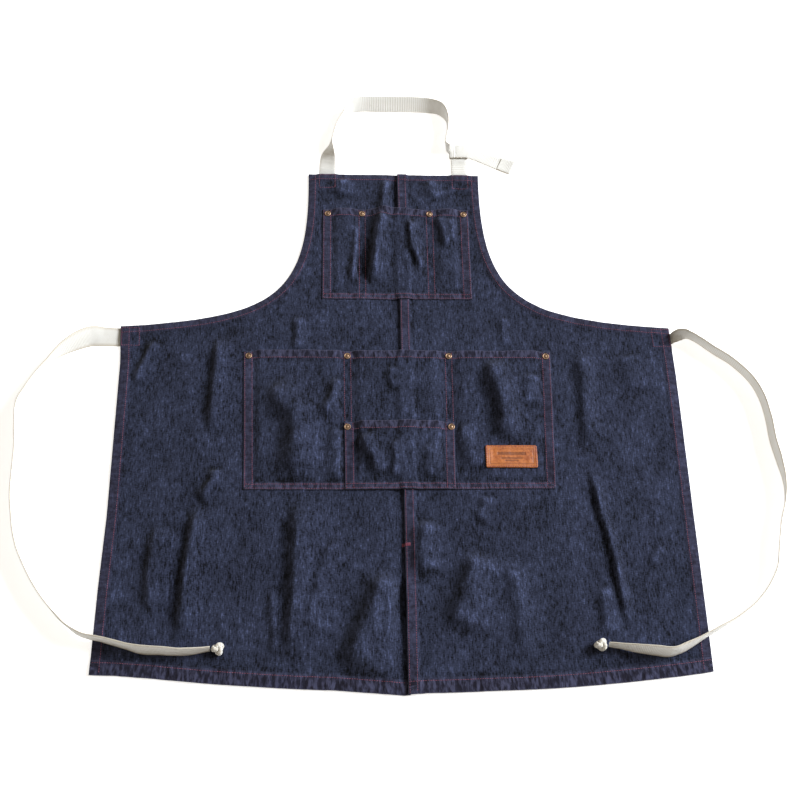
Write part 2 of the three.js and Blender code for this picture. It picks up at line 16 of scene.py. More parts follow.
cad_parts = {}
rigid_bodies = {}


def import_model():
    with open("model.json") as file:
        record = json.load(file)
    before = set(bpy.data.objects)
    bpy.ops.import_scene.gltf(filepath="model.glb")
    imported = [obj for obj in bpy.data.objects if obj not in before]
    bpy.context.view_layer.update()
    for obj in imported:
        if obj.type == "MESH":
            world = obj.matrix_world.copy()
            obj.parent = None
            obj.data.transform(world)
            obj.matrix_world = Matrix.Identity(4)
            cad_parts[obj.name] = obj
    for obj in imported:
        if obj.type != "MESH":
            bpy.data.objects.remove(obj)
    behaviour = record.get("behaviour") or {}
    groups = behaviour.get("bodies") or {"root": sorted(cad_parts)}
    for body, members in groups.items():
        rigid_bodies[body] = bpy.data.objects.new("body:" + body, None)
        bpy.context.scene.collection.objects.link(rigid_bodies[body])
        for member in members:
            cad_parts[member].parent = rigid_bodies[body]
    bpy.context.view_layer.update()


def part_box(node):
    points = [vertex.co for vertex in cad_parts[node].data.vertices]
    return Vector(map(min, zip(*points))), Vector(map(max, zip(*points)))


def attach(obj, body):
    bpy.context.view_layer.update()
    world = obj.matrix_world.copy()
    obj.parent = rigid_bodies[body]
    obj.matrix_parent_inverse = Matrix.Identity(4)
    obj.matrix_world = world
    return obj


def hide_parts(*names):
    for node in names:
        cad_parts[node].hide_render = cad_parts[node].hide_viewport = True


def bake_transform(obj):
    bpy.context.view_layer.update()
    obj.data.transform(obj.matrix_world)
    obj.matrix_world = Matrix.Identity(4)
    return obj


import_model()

MM = 0.001


def box_mm(part):
    """Lowest and highest corner of a part in the frame, in millimetres to a tenth."""
    return [[round(float(value) / MM, 1) for value in corner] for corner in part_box(part)]


def middle_of(part):
    """The middle of a part in the frame, seen from above, in millimetres."""
    low, high = box_mm(part)
    return round((low[0] + high[0]) / 2, 1), round((low[1] + high[1]) / 2, 1)


# %% [markdown]
# ## Camera
# A lens of 54 mm looks down at the table from the hem's side, tilted 24 degrees from straight down,
# and turned by a degree or two, as a camera held by hand over a table is.
# %% Camera
bpy.ops.object.select_all(action="DESELECT")
bpy.ops.object.camera_add(
    location=(-0.0821, -0.8470, 1.6041),
    rotation=[math.radians(a) for a in (24.443, -2.533, -1.103)],
)
camera = bpy.context.object
camera.data.lens = 54
camera.data.sensor_width = 36
bpy.context.scene.camera = camera
print("camera height", round(camera.location.z, 2), "m")

# %% [markdown]
# ## Node materials
# All the finishes are built from the same few nodes, so one small helper adds a node, sets its
# values and links its inputs. A pattern reads the piece's own Object coordinates, its UV map or an
# attribute, so it stays on the piece when the piece moves.
# %% Helpers for materials
def new_material(name, roughness, **shader_values):
    """A principled material; a value such as Sheen_Weight=0.2 is set on the socket of that name."""
    material = bpy.data.materials.new(name)
    material.use_nodes = True
    shader = material.node_tree.nodes["Principled BSDF"]
    shader.inputs["Roughness"].default_value = roughness
    for socket, value in shader_values.items():
        shader.inputs[socket.replace("_", " ")].default_value = value
    return material, material.node_tree, shader


def node(tree, kind, links=None, **settings):
    """Adds a node. A link is a socket, and a plain value goes into the input's default."""
    made = tree.nodes.new(kind)
    for key, value in settings.items():
        setattr(made, key, value)
    for socket, source in (links or {}).items():
        if isinstance(source, bpy.types.NodeSocket):
            tree.links.new(source, made.inputs[socket])
        else:
            made.inputs[socket].default_value = source
    return made


def maths(tree, operation, a, b=0.0):
    return node(tree, "ShaderNodeMath", {0: a, 1: b}, operation=operation).outputs[0]


def scaled(tree, value, factor):
    return maths(tree, "MULTIPLY", value, factor)


def attribute(tree, name):
    """A number stored on the piece's vertices."""
    return node(tree, "ShaderNodeAttribute", attribute_name=name).outputs["Fac"]


def between(tree, value, low, high, out_low=0.0, out_high=1.0):
    """Smoothly carries value from low..high to out_low..out_high."""
    links = {"Value": value, "From Min": low, "From Max": high, "To Min": out_low, "To Max": out_high}
    return node(tree, "ShaderNodeMapRange", links, interpolation_type="SMOOTHSTEP").outputs["Result"]


def stretched_noise(tree, vector, cell, detail=3.0):
    """Noise whose patches are about cell = (x, y, z) metres."""
    mapping = node(tree, "ShaderNodeMapping", {"Vector": vector, "Scale": [1 / c for c in cell]})
    links = {"Vector": mapping.outputs[0], "Scale": 1.0, "Detail": detail}
    return node(tree, "ShaderNodeTexNoise", links).outputs["Fac"]


MIX_FACTOR, MIX_A, MIX_B, MIX_COLOUR = 0, 6, 7, 2


def blended(tree, share, first, second):
    """The first colour where share is 0, and the second where it is 1."""
    links = {MIX_FACTOR: share, MIX_A: first, MIX_B: second}
    return node(tree, "ShaderNodeMix", links, data_type="RGBA").outputs[MIX_COLOUR]


def bump(tree, shader, height, distance, strength=1.0):
    made = node(tree, "ShaderNodeBump", {"Height": height, "Distance": distance, "Strength": strength})
    tree.links.new(made.outputs[0], shader.inputs["Normal"])


print("material helpers ready")

# %% [markdown]
# ## Cotton webbing
# The ties and the neck strap are woven cotton tape: undyed, slightly ribbed across, with a rounded
# selvage. Its weave follows the tape round every turn, so the pattern reads the tape's UV map, which
# holds metres along the tape and metres round it.
# %% Webbing finish
RIB, END = 0.0021, 0.0013  # metres from rib to rib along the tape, and from thread to thread across it
CLEAN_COTTON, HANDLED_COTTON = (0.80, 0.80, 0.79, 1), (0.75, 0.745, 0.72, 1)
# painted shade: a darker colour in the dips between ribs, and a tan one along the selvage
RIB_HOLLOW_SHADE, SELVAGE_SHADE_TAN = (0.64, 0.62, 0.565, 1), (0.55, 0.48, 0.37, 1)


def webbing_material():
    material, tree, shader = new_material("cotton_webbing", 0.92, Sheen_Weight=0.25, IOR=1.3)
    uv = node(tree, "ShaderNodeTexCoord").outputs["UV"]
    along = node(tree, "ShaderNodeSeparateXYZ", {0: uv}).outputs
    ribs = maths(tree, "SINE", scaled(tree, along[0], math.tau / RIB))
    ends = maths(tree, "SINE", scaled(tree, along[1], math.tau / END))
    weave = scaled(tree, ribs, maths(tree, "ADD", ends, 1.6))
    fluff = stretched_noise(tree, uv, (0.0012, 0.0009, 1), 4)
    soil = stretched_noise(tree, uv, (0.045, 0.02, 1), 3)
    white = blended(tree, between(tree, soil, 0.35, 0.75), CLEAN_COTTON, HANDLED_COTTON)
    # painted shade where the weave dips between the ribs
    valley = between(tree, maths(tree, "ADD", weave, scaled(tree, fluff, 2.0)), -1.6, 1.2)
    colour = blended(tree, valley, RIB_HOLLOW_SHADE, white)
    # painted shade: the selvage is tinted tan, as edges turned away from the lamp look
    selvage = attribute(tree, "selvage")
    colour = blended(tree, scaled(tree, selvage, 0.6), colour, SELVAGE_SHADE_TAN)
    tree.links.new(colour, shader.inputs["Base Color"])
    bump(tree, shader, maths(tree, "ADD", weave, fluff), 0.00012, 0.8)
    return material


cotton = webbing_material()
print("cotton webbing of", len(cotton.node_tree.nodes), "nodes")

# %% [markdown]
# ## The webbing's shape
# A strap could be a curve with a bevel, but a bevel object can't change which way its breadth lies.
# Here a grid is wrapped round a route instead: each stop gives a point and the direction of the
# breadth, so the tape lies flat, stands on its edge or twists between them. The grid's long edges are
# then merged and its ends filled, which makes a closed body with a rounded selvage.
# %% Helpers for routes and straps
def smooth_route(stops, shares):
    """Points on a smooth curve through the stops; share 0 is the first stop and 1 the last."""
    stops = np.array(stops, float)
    ext = np.vstack([2 * stops[0] - stops[1], stops, 2 * stops[-1] - stops[-2]])
    reach = np.clip(np.asarray(shares, float) * (len(stops) - 1), 0, len(stops) - 1)
    k = np.minimum(reach.astype(int), len(stops) - 2)
    w = (reach - k)[:, None]
    p0, p1, p2, p3 = (ext[k + i] for i in range(4))
    d0, d1, d2 = (np.linalg.norm(b - a, axis=1)[:, None] ** 0.5 for a, b in ((p0, p1), (p1, p2), (p2, p3)))
    t1 = d1 * ((p1 - p0) / d0 - (p2 - p0) / (d0 + d1) + (p2 - p1) / d1)
    t2 = d1 * ((p2 - p1) / d1 - (p3 - p1) / (d1 + d2) + (p3 - p2) / d2)
    return p1 + w * t1 + w**2 * (3 * (p2 - p1) - 2 * t1 - t2) + w**3 * (2 * (p1 - p2) + t1 + t2)


def only(obj):
    """Selects and activates one object alone."""
    bpy.ops.object.select_all(action="DESELECT")
    obj.select_set(True)
    bpy.context.view_layer.objects.active = obj
    return obj


def coordinates(mesh):
    """The places of a mesh's vertices, one row each."""
    flat = np.empty(len(mesh.vertices) * 3)
    mesh.vertices.foreach_get("co", flat)
    return flat.reshape(-1, 3)


def set_coordinates(mesh, points):
    mesh.vertices.foreach_set("co", np.asarray(points, float).ravel())
    mesh.update()


def unit_grid(name, columns, rows):
    """A grid of columns x rows faces, with each vertex's shares 0..1 of its two sides."""
    bpy.ops.object.select_all(action="DESELECT")
    bpy.ops.mesh.primitive_grid_add(x_subdivisions=columns, y_subdivisions=rows, size=1)
    grid = bpy.context.object
    grid.name = grid.data.name = name
    shares = coordinates(grid.data)[:, :2] + 0.5
    return grid, shares[:, 0], shares[:, 1]


def selvage_outline(breadth, thickness):
    """A tape's section: flat faces and half-round edges, from one point round to it again."""
    r = thickness / 2
    flat = np.linspace(-breadth / 2 + r, breadth / 2 - r, 7)
    turn = np.linspace(-math.pi / 2, math.pi / 2, 5)[1:-1]
    right = [(breadth / 2 - r + r * math.cos(a), r * math.sin(a)) for a in turn]
    left = [(-x, -y) for x, y in right]
    return np.array([(x, -r) for x in flat] + right + [(x, r) for x in flat[::-1]] + left + [(flat[0], -r)])


def route_frames(stops, shares):
    """Centre, breadth direction and face direction at each share of a route."""
    points = [s[0] for s in stops]
    centre = smooth_route(points, shares)
    step = 1e-4
    ahead, behind = np.minimum(shares + step, 1), np.maximum(shares - step, 0)
    along = smooth_route(points, ahead) - smooth_route(points, behind)
    along /= np.linalg.norm(along, axis=1)[:, None]
    across = np.array([s[1] for s in stops], float)
    reach = shares * (len(stops) - 1)
    k = np.minimum(reach.astype(int), len(stops) - 2)
    w = (reach - k)[:, None]
    across = across[k] * (1 - w) + across[k + 1] * w
    across -= (across * along).sum(1)[:, None] * along
    across /= np.linalg.norm(across, axis=1)[:, None]
    return centre, across, np.cross(along, across)


def route_length(stops):
    """Length in metres."""
    points = smooth_route([s[0] for s in stops], np.linspace(0, 1, 1500))
    return np.linalg.norm(np.diff(points, axis=0), axis=1).sum() * MM


SELVAGE = 0.47  # where the selvage starts, as a share of the breadth out from the middle
WAVES = 17, 31  # mm from swell to swell of webbing that doesn't lie quite flat


def strap(name, stops, breadth, thickness=1.5, step=2.2, wave=0.0, seed=1):
    """A webbing strap. A stop is (point, breadth direction) or (point, direction, breadth), in mm."""
    length = route_length(stops) / MM
    section = selvage_outline(breadth, thickness)
    columns = max(8, round(length / step))
    tape, u, v = unit_grid(name, columns, len(section) - 1)
    centre, across, out = route_frames(stops, u)
    widths = np.array([(s[2] if len(s) > 2 else breadth) for s in stops]) / breadth
    narrow = np.interp(u * (len(stops) - 1), np.arange(len(stops)), widths)
    at = np.round(v * (len(section) - 1)).astype(int)
    side, face = section[at, 0] * narrow, section[at, 1]
    if wave:
        rng = np.random.default_rng(seed)
        knots = rng.uniform(-1, 1, 400)
        places = np.arange(len(knots))
        ripple = np.interp(u * length / WAVES[0], places, knots) * side / (breadth / 2)
        face = face + wave * ripple + wave * 0.5 * np.interp(u * length / WAVES[1], places, knots[::-1])
    points = centre + across * side[:, None] + out * face[:, None]
    set_coordinates(tape.data, points * MM)
    selvage = tape.data.attributes.new("selvage", "FLOAT", "POINT")
    selvage.data.foreach_set("value", np.array(np.abs(section[at, 0]) > SELVAGE * breadth, np.float32))
    around = np.r_[0, np.cumsum(np.linalg.norm(np.diff(section, axis=0), axis=1))]
    for loop in tape.data.uv_layers.active.data:
        loop.uv = (loop.uv[0] * length * MM, around[round(loop.uv[1] * (len(section) - 1))] * MM)
    only(tape)
    bpy.ops.object.mode_set(mode="EDIT")
    bpy.ops.mesh.select_all(action="SELECT")
    bpy.ops.mesh.remove_doubles(threshold=1e-7)
    bpy.ops.mesh.fill_holes(sides=0)
    bpy.ops.mesh.normals_make_consistent(inside=False)
    bpy.ops.object.mode_set(mode="OBJECT")
    bpy.ops.object.shade_smooth_by_angle(angle=math.radians(50))
    tape.data.materials.append(cotton)
    return tape


UP, EAST, NORTH = (0, 0, 1), (1, 0, 0), (0, 1, 0)
print("a 30 mm tape's section has", len(selvage_outline(30, 1.5)) - 1, "points")

# %% [markdown]
# ## Waist ties
# Each tie is one length of 30 mm webbing, sewn under a corner of the waist. It comes out flat, turns
# on to its edge, runs round in a wide loop and comes back over the hem, where it is gathered into a
# knot. A tie is a free cord: its route is repeated here from the model, in millimetres, with the
# direction in which its breadth lies at each stop, and its length follows.
# %% Waist ties
HALF_SKIRT = box_mm("right_panel")[1][0]
TIE = 30.0


def tie_start(side):
    """The sewn end, flat under the cloth. The right one is gathered where it comes out."""
    breadths = (TIE, TIE, TIE) if side < 0 else (TIE, 25, 17)
    return [((side * (HALF_SKIRT + beyond), -17, 0.75), NORTH, breadth)
            for beyond, breadth in zip((-27, -6, 3), breadths)]


LEFT_TIE = tie_start(-1) + [
    ((-436, -17, 2.9), (0, 1, 0.12)), ((-453, -19, 7.8), (-0.05, 0.9, 0.45)),
    ((-481, -36, 14.6), (-0.1, 0.35, 0.95)),
    ((-511, -64, 15), (0.2, -0.15, 1)), ((-540, -109, 15), (0.3, -0.16, 1)),
    ((-549.5, -133, 15), (0.28, -0.08, 1)),
    ((-547, -170, 15), (0.22, 0, 1)), ((-543.5, -206, 15), (0.2, 0, 1)), ((-541.5, -263, 15), (0.2, 0, 1)),
    ((-533, -318, 15), (0.17, 0, 1)), ((-517.5, -361, 15), (0.1, 0, 1)), ((-487, -411, 15), (0.05, 0, 1)),
    ((-453, -449, 16), UP), ((-428, -466, 18.2), UP), ((-401.5, -473, 18.3), (0, 0.02, 1)),
    ((-375, -480.5, 18.2), (0, 0.08, 1)), ((-349.5, -487, 18.1), (0, 0.17, 1)),
    ((-321.5, -489, 18), (0, 0.17, 1)),
    ((-296, -490.5, 16.4), (0, 0.17, 1), 26), ((-275, -489, 14.2), (0, 0.17, 1), 21),
    ((-257, -486, 12), (0, 0.17, 1), 15),
]
RIGHT_TIE = tie_start(1) + [
    ((419.5, -16.6, 4), (0, 1, 0.4), 16), ((424, -16, 9.6), (-0.02, 0.6, 0.8), 18),
    ((430, -15.5, 13.8), (-0.05, 0.3, 1), 25),
    ((440, -17, 15.2), (-0.08, -0.1, 1)), ((454, -25, 15), (-0.07, -0.16, 1)),
    ((475, -42, 15), (-0.12, -0.14, 1)),
    ((501, -62, 15), (-0.09, -0.1, 1)), ((526, -91, 15), (-0.09, -0.07, 1)),
    ((538, -119, 15), (-0.1, -0.04, 1)),
    ((543.5, -154, 15), (-0.04, 0, 1)), ((545, -189, 15), (-0.03, 0, 1)), ((549.5, -220, 15), (-0.09, 0, 1)),
    ((552.5, -252, 15), (-0.18, 0, 1)), ((549, -281, 15), (-0.24, 0, 1)), ((538, -315, 15), (-0.28, 0, 1)),
    ((530, -348, 15), (-0.3, 0, 1)), ((521.5, -383, 15), (-0.28, 0, 1)), ((506, -408, 15), (-0.2, 0.1, 1)),
    ((481, -434, 15), (-0.08, 0.05, 1)), ((450, -454, 16), UP), ((424, -468, 18), (0, 0.06, 1)),
    ((410, -475, 18.3), (0, 0.12, 1)), ((394, -483.5, 18.2), (0, 0.2, 1)), ((373, -493, 18.2), (0, 0.26, 1)),
    ((358.5, -497, 18.2), (0, 0.27, 1)), ((338.5, -495, 18.2), (0, 0.24, 1)),
    ((312, -491, 16.2), (0, 0.2, 1), 25),
    ((290, -487, 13.4), (0, 0.16, 1), 19), ((277, -485, 12), (0, 0.14, 1), 15),
]


def overhand_knot(name, middle, turn):
    """A tight overhand knot of gathered webbing, about 20 mm across, round a point in mm."""
    stops = []
    for i in range(33):
        a = math.tau * i / 32
        x, y, z = (math.sin(a) + 2 * math.sin(2 * a), math.cos(a) - 2 * math.cos(2 * a), -math.sin(3 * a))
        c, s = math.cos(turn), math.sin(turn)
        at = (middle[0] + 1.95 * (c * x - s * y), middle[1] + 1.8 * (s * x + c * y), middle[2] + 3.1 * z)
        stops.append((at, (0.25, 0.1, 1)))
    return strap(name, stops, 9.5, 5.2, step=1.0)


KNOT_HEIGHT = 11.8
# side, route, the knot's place and turn, and the seed of the webbing's swells
TIES = [("left", LEFT_TIE, (-246.2, -486), 0.4, 5), ("right", RIGHT_TIE, (266.2, -485), 2.6, 9)]
for side, route, knot_at, turn, seed in TIES:
    tie = strap(f"{side}_waist_tie", route, TIE, wave=0.5, seed=seed)
    knot = overhand_knot(f"{side}_waist_tie_knot", (*knot_at, KNOT_HEIGHT), turn)
    for piece in (tie, knot):
        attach(piece, "apron")
    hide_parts(f"{side}_tie")
    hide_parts(f"{side}_tie_knot")
    length = route_length(route)
    exit_point = Vector(route[0][0]) * MM
    path = [tuple(p) for p in smooth_route([s[0] for s in route], np.linspace(0, 1, 160)) * MM]
    print(tie.name, round(length, 3), "m,", len(tie.data.vertices), "vertices")

# %% [markdown]
# ## How the cloth lies
# Denim that has been washed and laid out keeps soft folds, small crumples, and hems that stand
# thicker than the single cloth. A cloth simulation would give folds, but not these ones, so the
# height of each layer is worked out from its causes: the layers below, the turned hems, a list of
# folds that were laid down, and a fine crumple. Each fold is a crest line, the reach of its
# steep side, the reach of its gentle side, all in millimetres, and its height beside the others. The
# steep side is on the right of the line's travel.
# %% Fold lines of the body
HALF_BIB = 136.0
BIB_HEIGHT = box_mm("right_panel")[1][1]
SKIRT_SIDE = 514.0
HEM_BOW = -box_mm("right_panel")[0][1] - SKIRT_SIDE
SEAM_X = 7.0
SEAM_LAP = 13.0
VENT_TOP = box_mm("vent_bartack")[0][1]
BODY_FOLDS = [
    ([(-282, -276), (-286, -307), (-290, -345), (-294, -382), (-295, -418), (-297, -454), (-298, -479)],
     8, 18, 5),
    ([(-264, -225), (-262, -245), (-274, -263), (-284, -276)], 8, 10, 3),
    ([(-337, -307), (-343, -345), (-344, -382), (-342, -418), (-328, -443)], 8, 30, 3),
    ([(-264, -12), (-265, -51), (-267, -94), (-269, -136), (-269, -177)], 8, 18, 3.5),
    ([(-359, -21), (-372, -47), (-384, -77), (-388, -98)], 6, 15, 2.6),
    ([(-142, -265), (-143, -308), (-144, -346), (-144, -383), (-145, -420), (-148, -455),
      (-149, -491), (-147, -518)],
     12, 26, 5.5),
    ([(-76, -327), (-97, -350), (-108, -387), (-116, -423), (-123, -459), (-130, -491)], 10, 25, 2.5),
    ([(-14, -373), (-26, -402), (-40, -438), (-55, -474), (-67, -509), (-72, -526)], 18, 40, 7),
    ([(-174, -401), (-176, -437), (-172, -466), (-173, -501)], 6, 12, 1.5),
    ([(-150, 20), (-148, -20), (-151, -42)], 6, 12, 2),
    ([(276, -218), (279, -259), (284, -298), (293, -337), (298, -375), (302, -412), (306, -441), (317, -463)],
     4, 10, 3),
    ([(277, -32), (276, -76), (276, -119), (275, -161), (275, -202)], 10, 15, 3),
    ([(111, -347), (99, -381), (89, -410), (80, -439), (74, -468)], 16, 34, 5.5),
    ([(147, -359), (154, -396), (159, -433), (163, -469), (159, -504)], 12, 20, 2.5),
    ([(34, -301), (32, -328), (29, -358), (34, -388)], 12, 20, 4),
    ([(124, -268), (122, -289), (110, -309)], 8, 12, 2),
    ([(276, -397), (278, -434), (280, -470)], 8, 15, 2),
    ([(366, -345), (355, -358), (345, -371)], 6, 8, 1),
    ([(340, -41), (344, -76), (345, -110)], 14, 26, 1.6),
    ([(161, 21), (161, -6), (162, -33)], 6, 10, 1.2),
    ([(-6, 270), (-12, 249), (-15, 226), (-19, 199)], 8, 12, 3.5),
    ([(-86, 266), (-84, 253), (-86, 234)], 8, 14, 2.5),
    ([(62, 268), (58, 250), (66, 228)], 8, 14, 2),
]


def smoothstep(low, high, x):
    """0 at low, 1 at high, and smooth between them; low may be the larger one."""
    t = np.clip((x - low) / (high - low), 0, 1)
    return t * t * (3 - 2 * t)


def beside(x, y, line):
    """Distance to a line, which side of its travel (1 is left), share along it, and length along it."""
    best = np.full(np.shape(x), 1e9)
    left, along = np.ones_like(best), np.zeros_like(best)
    line = np.asarray(line, float)
    steps = np.diff(line, axis=0)
    lengths = np.hypot(*steps.T)
    start = 0.0
    for (x0, y0), (dx, dy), length in zip(line, steps, lengths):
        t = np.clip(((x - x0) * dx + (y - y0) * dy) / length**2, 0, 1)
        px, py = x - x0 - t * dx, y - y0 - t * dy
        distance = np.hypot(px, py)
        nearer = distance < best
        best = np.where(nearer, distance, best)
        left = np.where(nearer, np.where(dx * py - dy * px > 0, 1, -1), left)
        along = np.where(nearer, start + t * length, along)
        start += length
    return best, left, along / start, along


FOLD_TAPER = 0.22  # share of a fold's length over which it dies away at each end


def folds_at(x, y, folds):
    """The folds' summed height."""
    total = np.zeros_like(x)
    for line, steep, gentle, height in folds:
        distance, left, share, _ = beside(x, y, line)
        width = np.where(left > 0, gentle, steep)
        taper = smoothstep(0, FOLD_TAPER, share) * smoothstep(0, FOLD_TAPER, 1 - share)
        total += height * taper * np.exp(-((distance / width) ** 2))
    return total


TABLE_SIZE = 128
# patch width and height in mm, size, and how much of it is sharp creases
CRUMPLES = [(30, 50, 0.75, 0.35), (15, 24, 0.42, 0.4), (8, 13, 0.2, 0.3)]


def lattice(x, y, cell_x, cell_y, seed):
    """Smooth random values -1..1 with patches of cell_x by cell_y mm, turned a little by the seed."""
    table = np.random.default_rng(seed).uniform(-1, 1, (TABLE_SIZE, TABLE_SIZE))
    a = 0.35 * math.sin(seed)
    gx = (x * math.cos(a) - y * math.sin(a)) / cell_x + 5 * TABLE_SIZE
    gy = (x * math.sin(a) + y * math.cos(a)) / cell_y + 5 * TABLE_SIZE
    ix, iy = np.floor(gx).astype(int), np.floor(gy).astype(int)
    fx, fy = gx - ix, gy - iy
    fx, fy = fx * fx * fx * (fx * (6 * fx - 15) + 10), fy * fy * fy * (fy * (6 * fy - 15) + 10)
    ix, iy, jx, jy = (value % TABLE_SIZE for value in (ix, iy, ix + 1, iy + 1))
    low = table[ix, iy] * (1 - fx) + table[jx, iy] * fx
    high = table[ix, jy] * (1 - fx) + table[jx, jy] * fx
    return low * (1 - fy) + high * fy


def crumple(x, y, seed):
    """Soft little dents of washed denim with a few sharper creases, about -1..1."""
    total = 0
    for k, (cell_x, cell_y, size, sharp) in enumerate(CRUMPLES, 1):
        bend = 6 * lattice(x, y, 40, 40, seed + 7 * k)
        wave = lattice(x + bend, y, cell_x, cell_y, seed + k)
        total = total + size * ((1 - sharp) * wave + sharp * (0.5 - np.abs(wave) * 1.6))
    return total


print(len(BODY_FOLDS), "folds on the body")

# %% [markdown]
# ## The outline and the hems
# Every edge of the body is turned under and sewn, and a turned hem stands two layers thicker. The
# distance to the nearest edge decides both, so the outline is kept as a few lines: hem, sides,
# armholes and top. The centre seam is felled: the right half's strip lies over the left half.
# %% The body's outline and its front surface
def bezier(p0, p1, p2, p3, count):
    """Points on a cubic curve."""
    t = np.linspace(0, 1, count)[:, None]
    p0, p1, p2, p3 = (np.array(p, float) for p in (p0, p1, p2, p3))
    return p0 * (1 - t) ** 3 + 3 * p1 * t * (1 - t) ** 2 + 3 * p2 * t**2 * (1 - t) + p3 * t**3


def armhole(side, count=60):
    """From the bib's top corner down to the waist's corner; side is -1 on the left and 1 on the right."""
    return bezier((side * HALF_BIB, BIB_HEIGHT), (side * (HALF_BIB - 5.5), 43.4),
                  (side * HALF_SKIRT * 0.45, 18.2), (side * HALF_SKIRT, 0), count)


def hem_height(x):
    """Where the bowed hem lies, along y."""
    return -SKIRT_SIDE - HEM_BOW * (1 - (np.asarray(x, float) / HALF_SKIRT) ** 2)


# Folds take up a few millimetres of the cloth and slack gives some back, so the outline isn't quite
# the cut one: (x, rise) along the hem, and (y, draw to the right) along each side.
HEM_DRAWN = [(-414, -3.5), (-380, 0.5), (-330, 3), (-200, 4.5), (-90, 4.5), (-40, 1.5), (0, -1.5), (30, 1),
             (120, 0.5), (200, -2), (280, -4), (400, -7), (414, -7)]
LEFT_SIDE_DRAWN = [(-514, -0.5), (-400, 1.5), (-300, 5), (-60, 5.5), (-20, 3), (0, 2)]
RIGHT_SIDE_DRAWN = [(-514, 4), (-80, 3.5), (0, 1)]


def settled(x, y):
    """Where a point of the cut cloth lies once the cloth is laid down."""
    x, y = np.asarray(x, float), np.asarray(y, float)
    rise = np.interp(x, *zip(*HEM_DRAWN)) * smoothstep(-340, -500, y)
    draw = np.interp(y, *zip(*LEFT_SIDE_DRAWN)) * smoothstep(-270, -400, x) * smoothstep(30, 0, y)
    draw = draw + np.interp(y, *zip(*RIGHT_SIDE_DRAWN)) * smoothstep(270, 400, x) * smoothstep(30, 0, y)
    return x + draw, y + rise


hem_x = np.linspace(-HALF_SKIRT, HALF_SKIRT, 41)
BOTTOM_HEM, SIDE_HEM, TOP_HEM = 18.0, 14.0, 12.0
EDGES = [
    (np.c_[hem_x, hem_height(hem_x)], BOTTOM_HEM),
    (np.array([(-HALF_SKIRT, -SKIRT_SIDE), (-HALF_SKIRT, 0)]), SIDE_HEM),
    (np.array([(HALF_SKIRT, -SKIRT_SIDE), (HALF_SKIRT, 0)]), SIDE_HEM),
    (armhole(-1, 40), TOP_HEM),
    (armhole(1, 40), TOP_HEM),
    (np.array([(-HALF_BIB, BIB_HEIGHT), (HALF_BIB, BIB_HEIGHT)]), TOP_HEM),
]
LAYER = 0.85  # one thickness of denim
FLAT = 1.0  # front of single cloth that lies on the table
HEM_LIFT = 1.7  # a turned hem above the single cloth
SEAM_LIFT = 2.75  # the felled seam's strip above it
RIVET_LIFT = 1.75
WEBBING_LIFT = 1.5
FOLD_STRENGTH = 2.7  # millimetres for a fold of height 1
SWELL = 1.3
CRUMPLE = 1.8
HEM_RIPPLE, EDGE_RIPPLE = 0.8, 0.25


def body_edges(x, y):
    """Distance inside the nearest edge as a share of its hem's width, that distance, and length along it."""
    share, nearest, along = np.full_like(x, 9.0), np.full_like(x, 999.0), np.zeros_like(x)
    for line, width in EDGES:
        distance, _, _, length = beside(x, y, line)
        share = np.minimum(share, (distance - width) / 10 + 1)
        along = np.where(distance < nearest, length, along)
        nearest = np.minimum(nearest, distance)
    return share, nearest, along


def seam_lift(x, right):
    """The felled strip on the right half, or what a pocket over the seam has to clear."""
    strip_end = SEAM_X + SEAM_LAP
    if right == "covered":
        return SEAM_LIFT * smoothstep(-5, 5.2, x) * (1 - smoothstep(strip_end, strip_end + 8, x))
    if not right:
        return np.zeros_like(x)
    return SEAM_LIFT * (1 - smoothstep(strip_end - 0.5, strip_end + 3, x))


RIVETS = [middle_of(f"rivet_cap_{number}") for number in range(1, 11)]
# the webbing ends that are sewn under the cloth: middle, and half the lifted patch each way
WEBBING_ENDS = [(side * 106.0, 262.0, 15.0, 17.0) for side in (-1, 1)]
WEBBING_ENDS += [(side * 402.0, -17.0, 16.5, 17.0) for side in (-1, 1)]
# each pocket's box, and what its sides slope in
POCKET_PLACES = [(box_mm("bib_pocket"), 0.0), (box_mm("waist_pocket"), 4.0)]


def rivet_lift(x, y):
    """1 at a rivet, which holds the cloth down, and 0 away from them all."""
    total = np.zeros_like(x)
    for rx, ry in RIVETS:
        total = np.maximum(total, smoothstep(16, 6, np.hypot(x - rx, y - ry)))
    return total


def webbing_lift(x, y):
    """The cloth rises over the ends of webbing that are sewn under it."""
    total = np.zeros_like(x)
    for cx, cy, half_x, half_y in WEBBING_ENDS:
        beyond = np.maximum(np.abs(x - cx) - half_x, np.abs(y - cy) - half_y)
        total = np.maximum(total, 1 - smoothstep(-1, 4, beyond))
    return total


def under_pocket(x, y):
    """1 well inside a pocket's outline and 0 outside it."""
    total = np.zeros_like(x)
    for ((x0, y0, _), (x1, y1, _)), slope in POCKET_PLACES:
        from_side = (x1 - x0) / 2 - slope - np.abs(x - (x0 + x1) / 2)
        from_end = np.minimum(y1 - y, y - y0)
        total = np.maximum(total, smoothstep(0, 12, from_side) * smoothstep(0, 12, from_end))
    return total


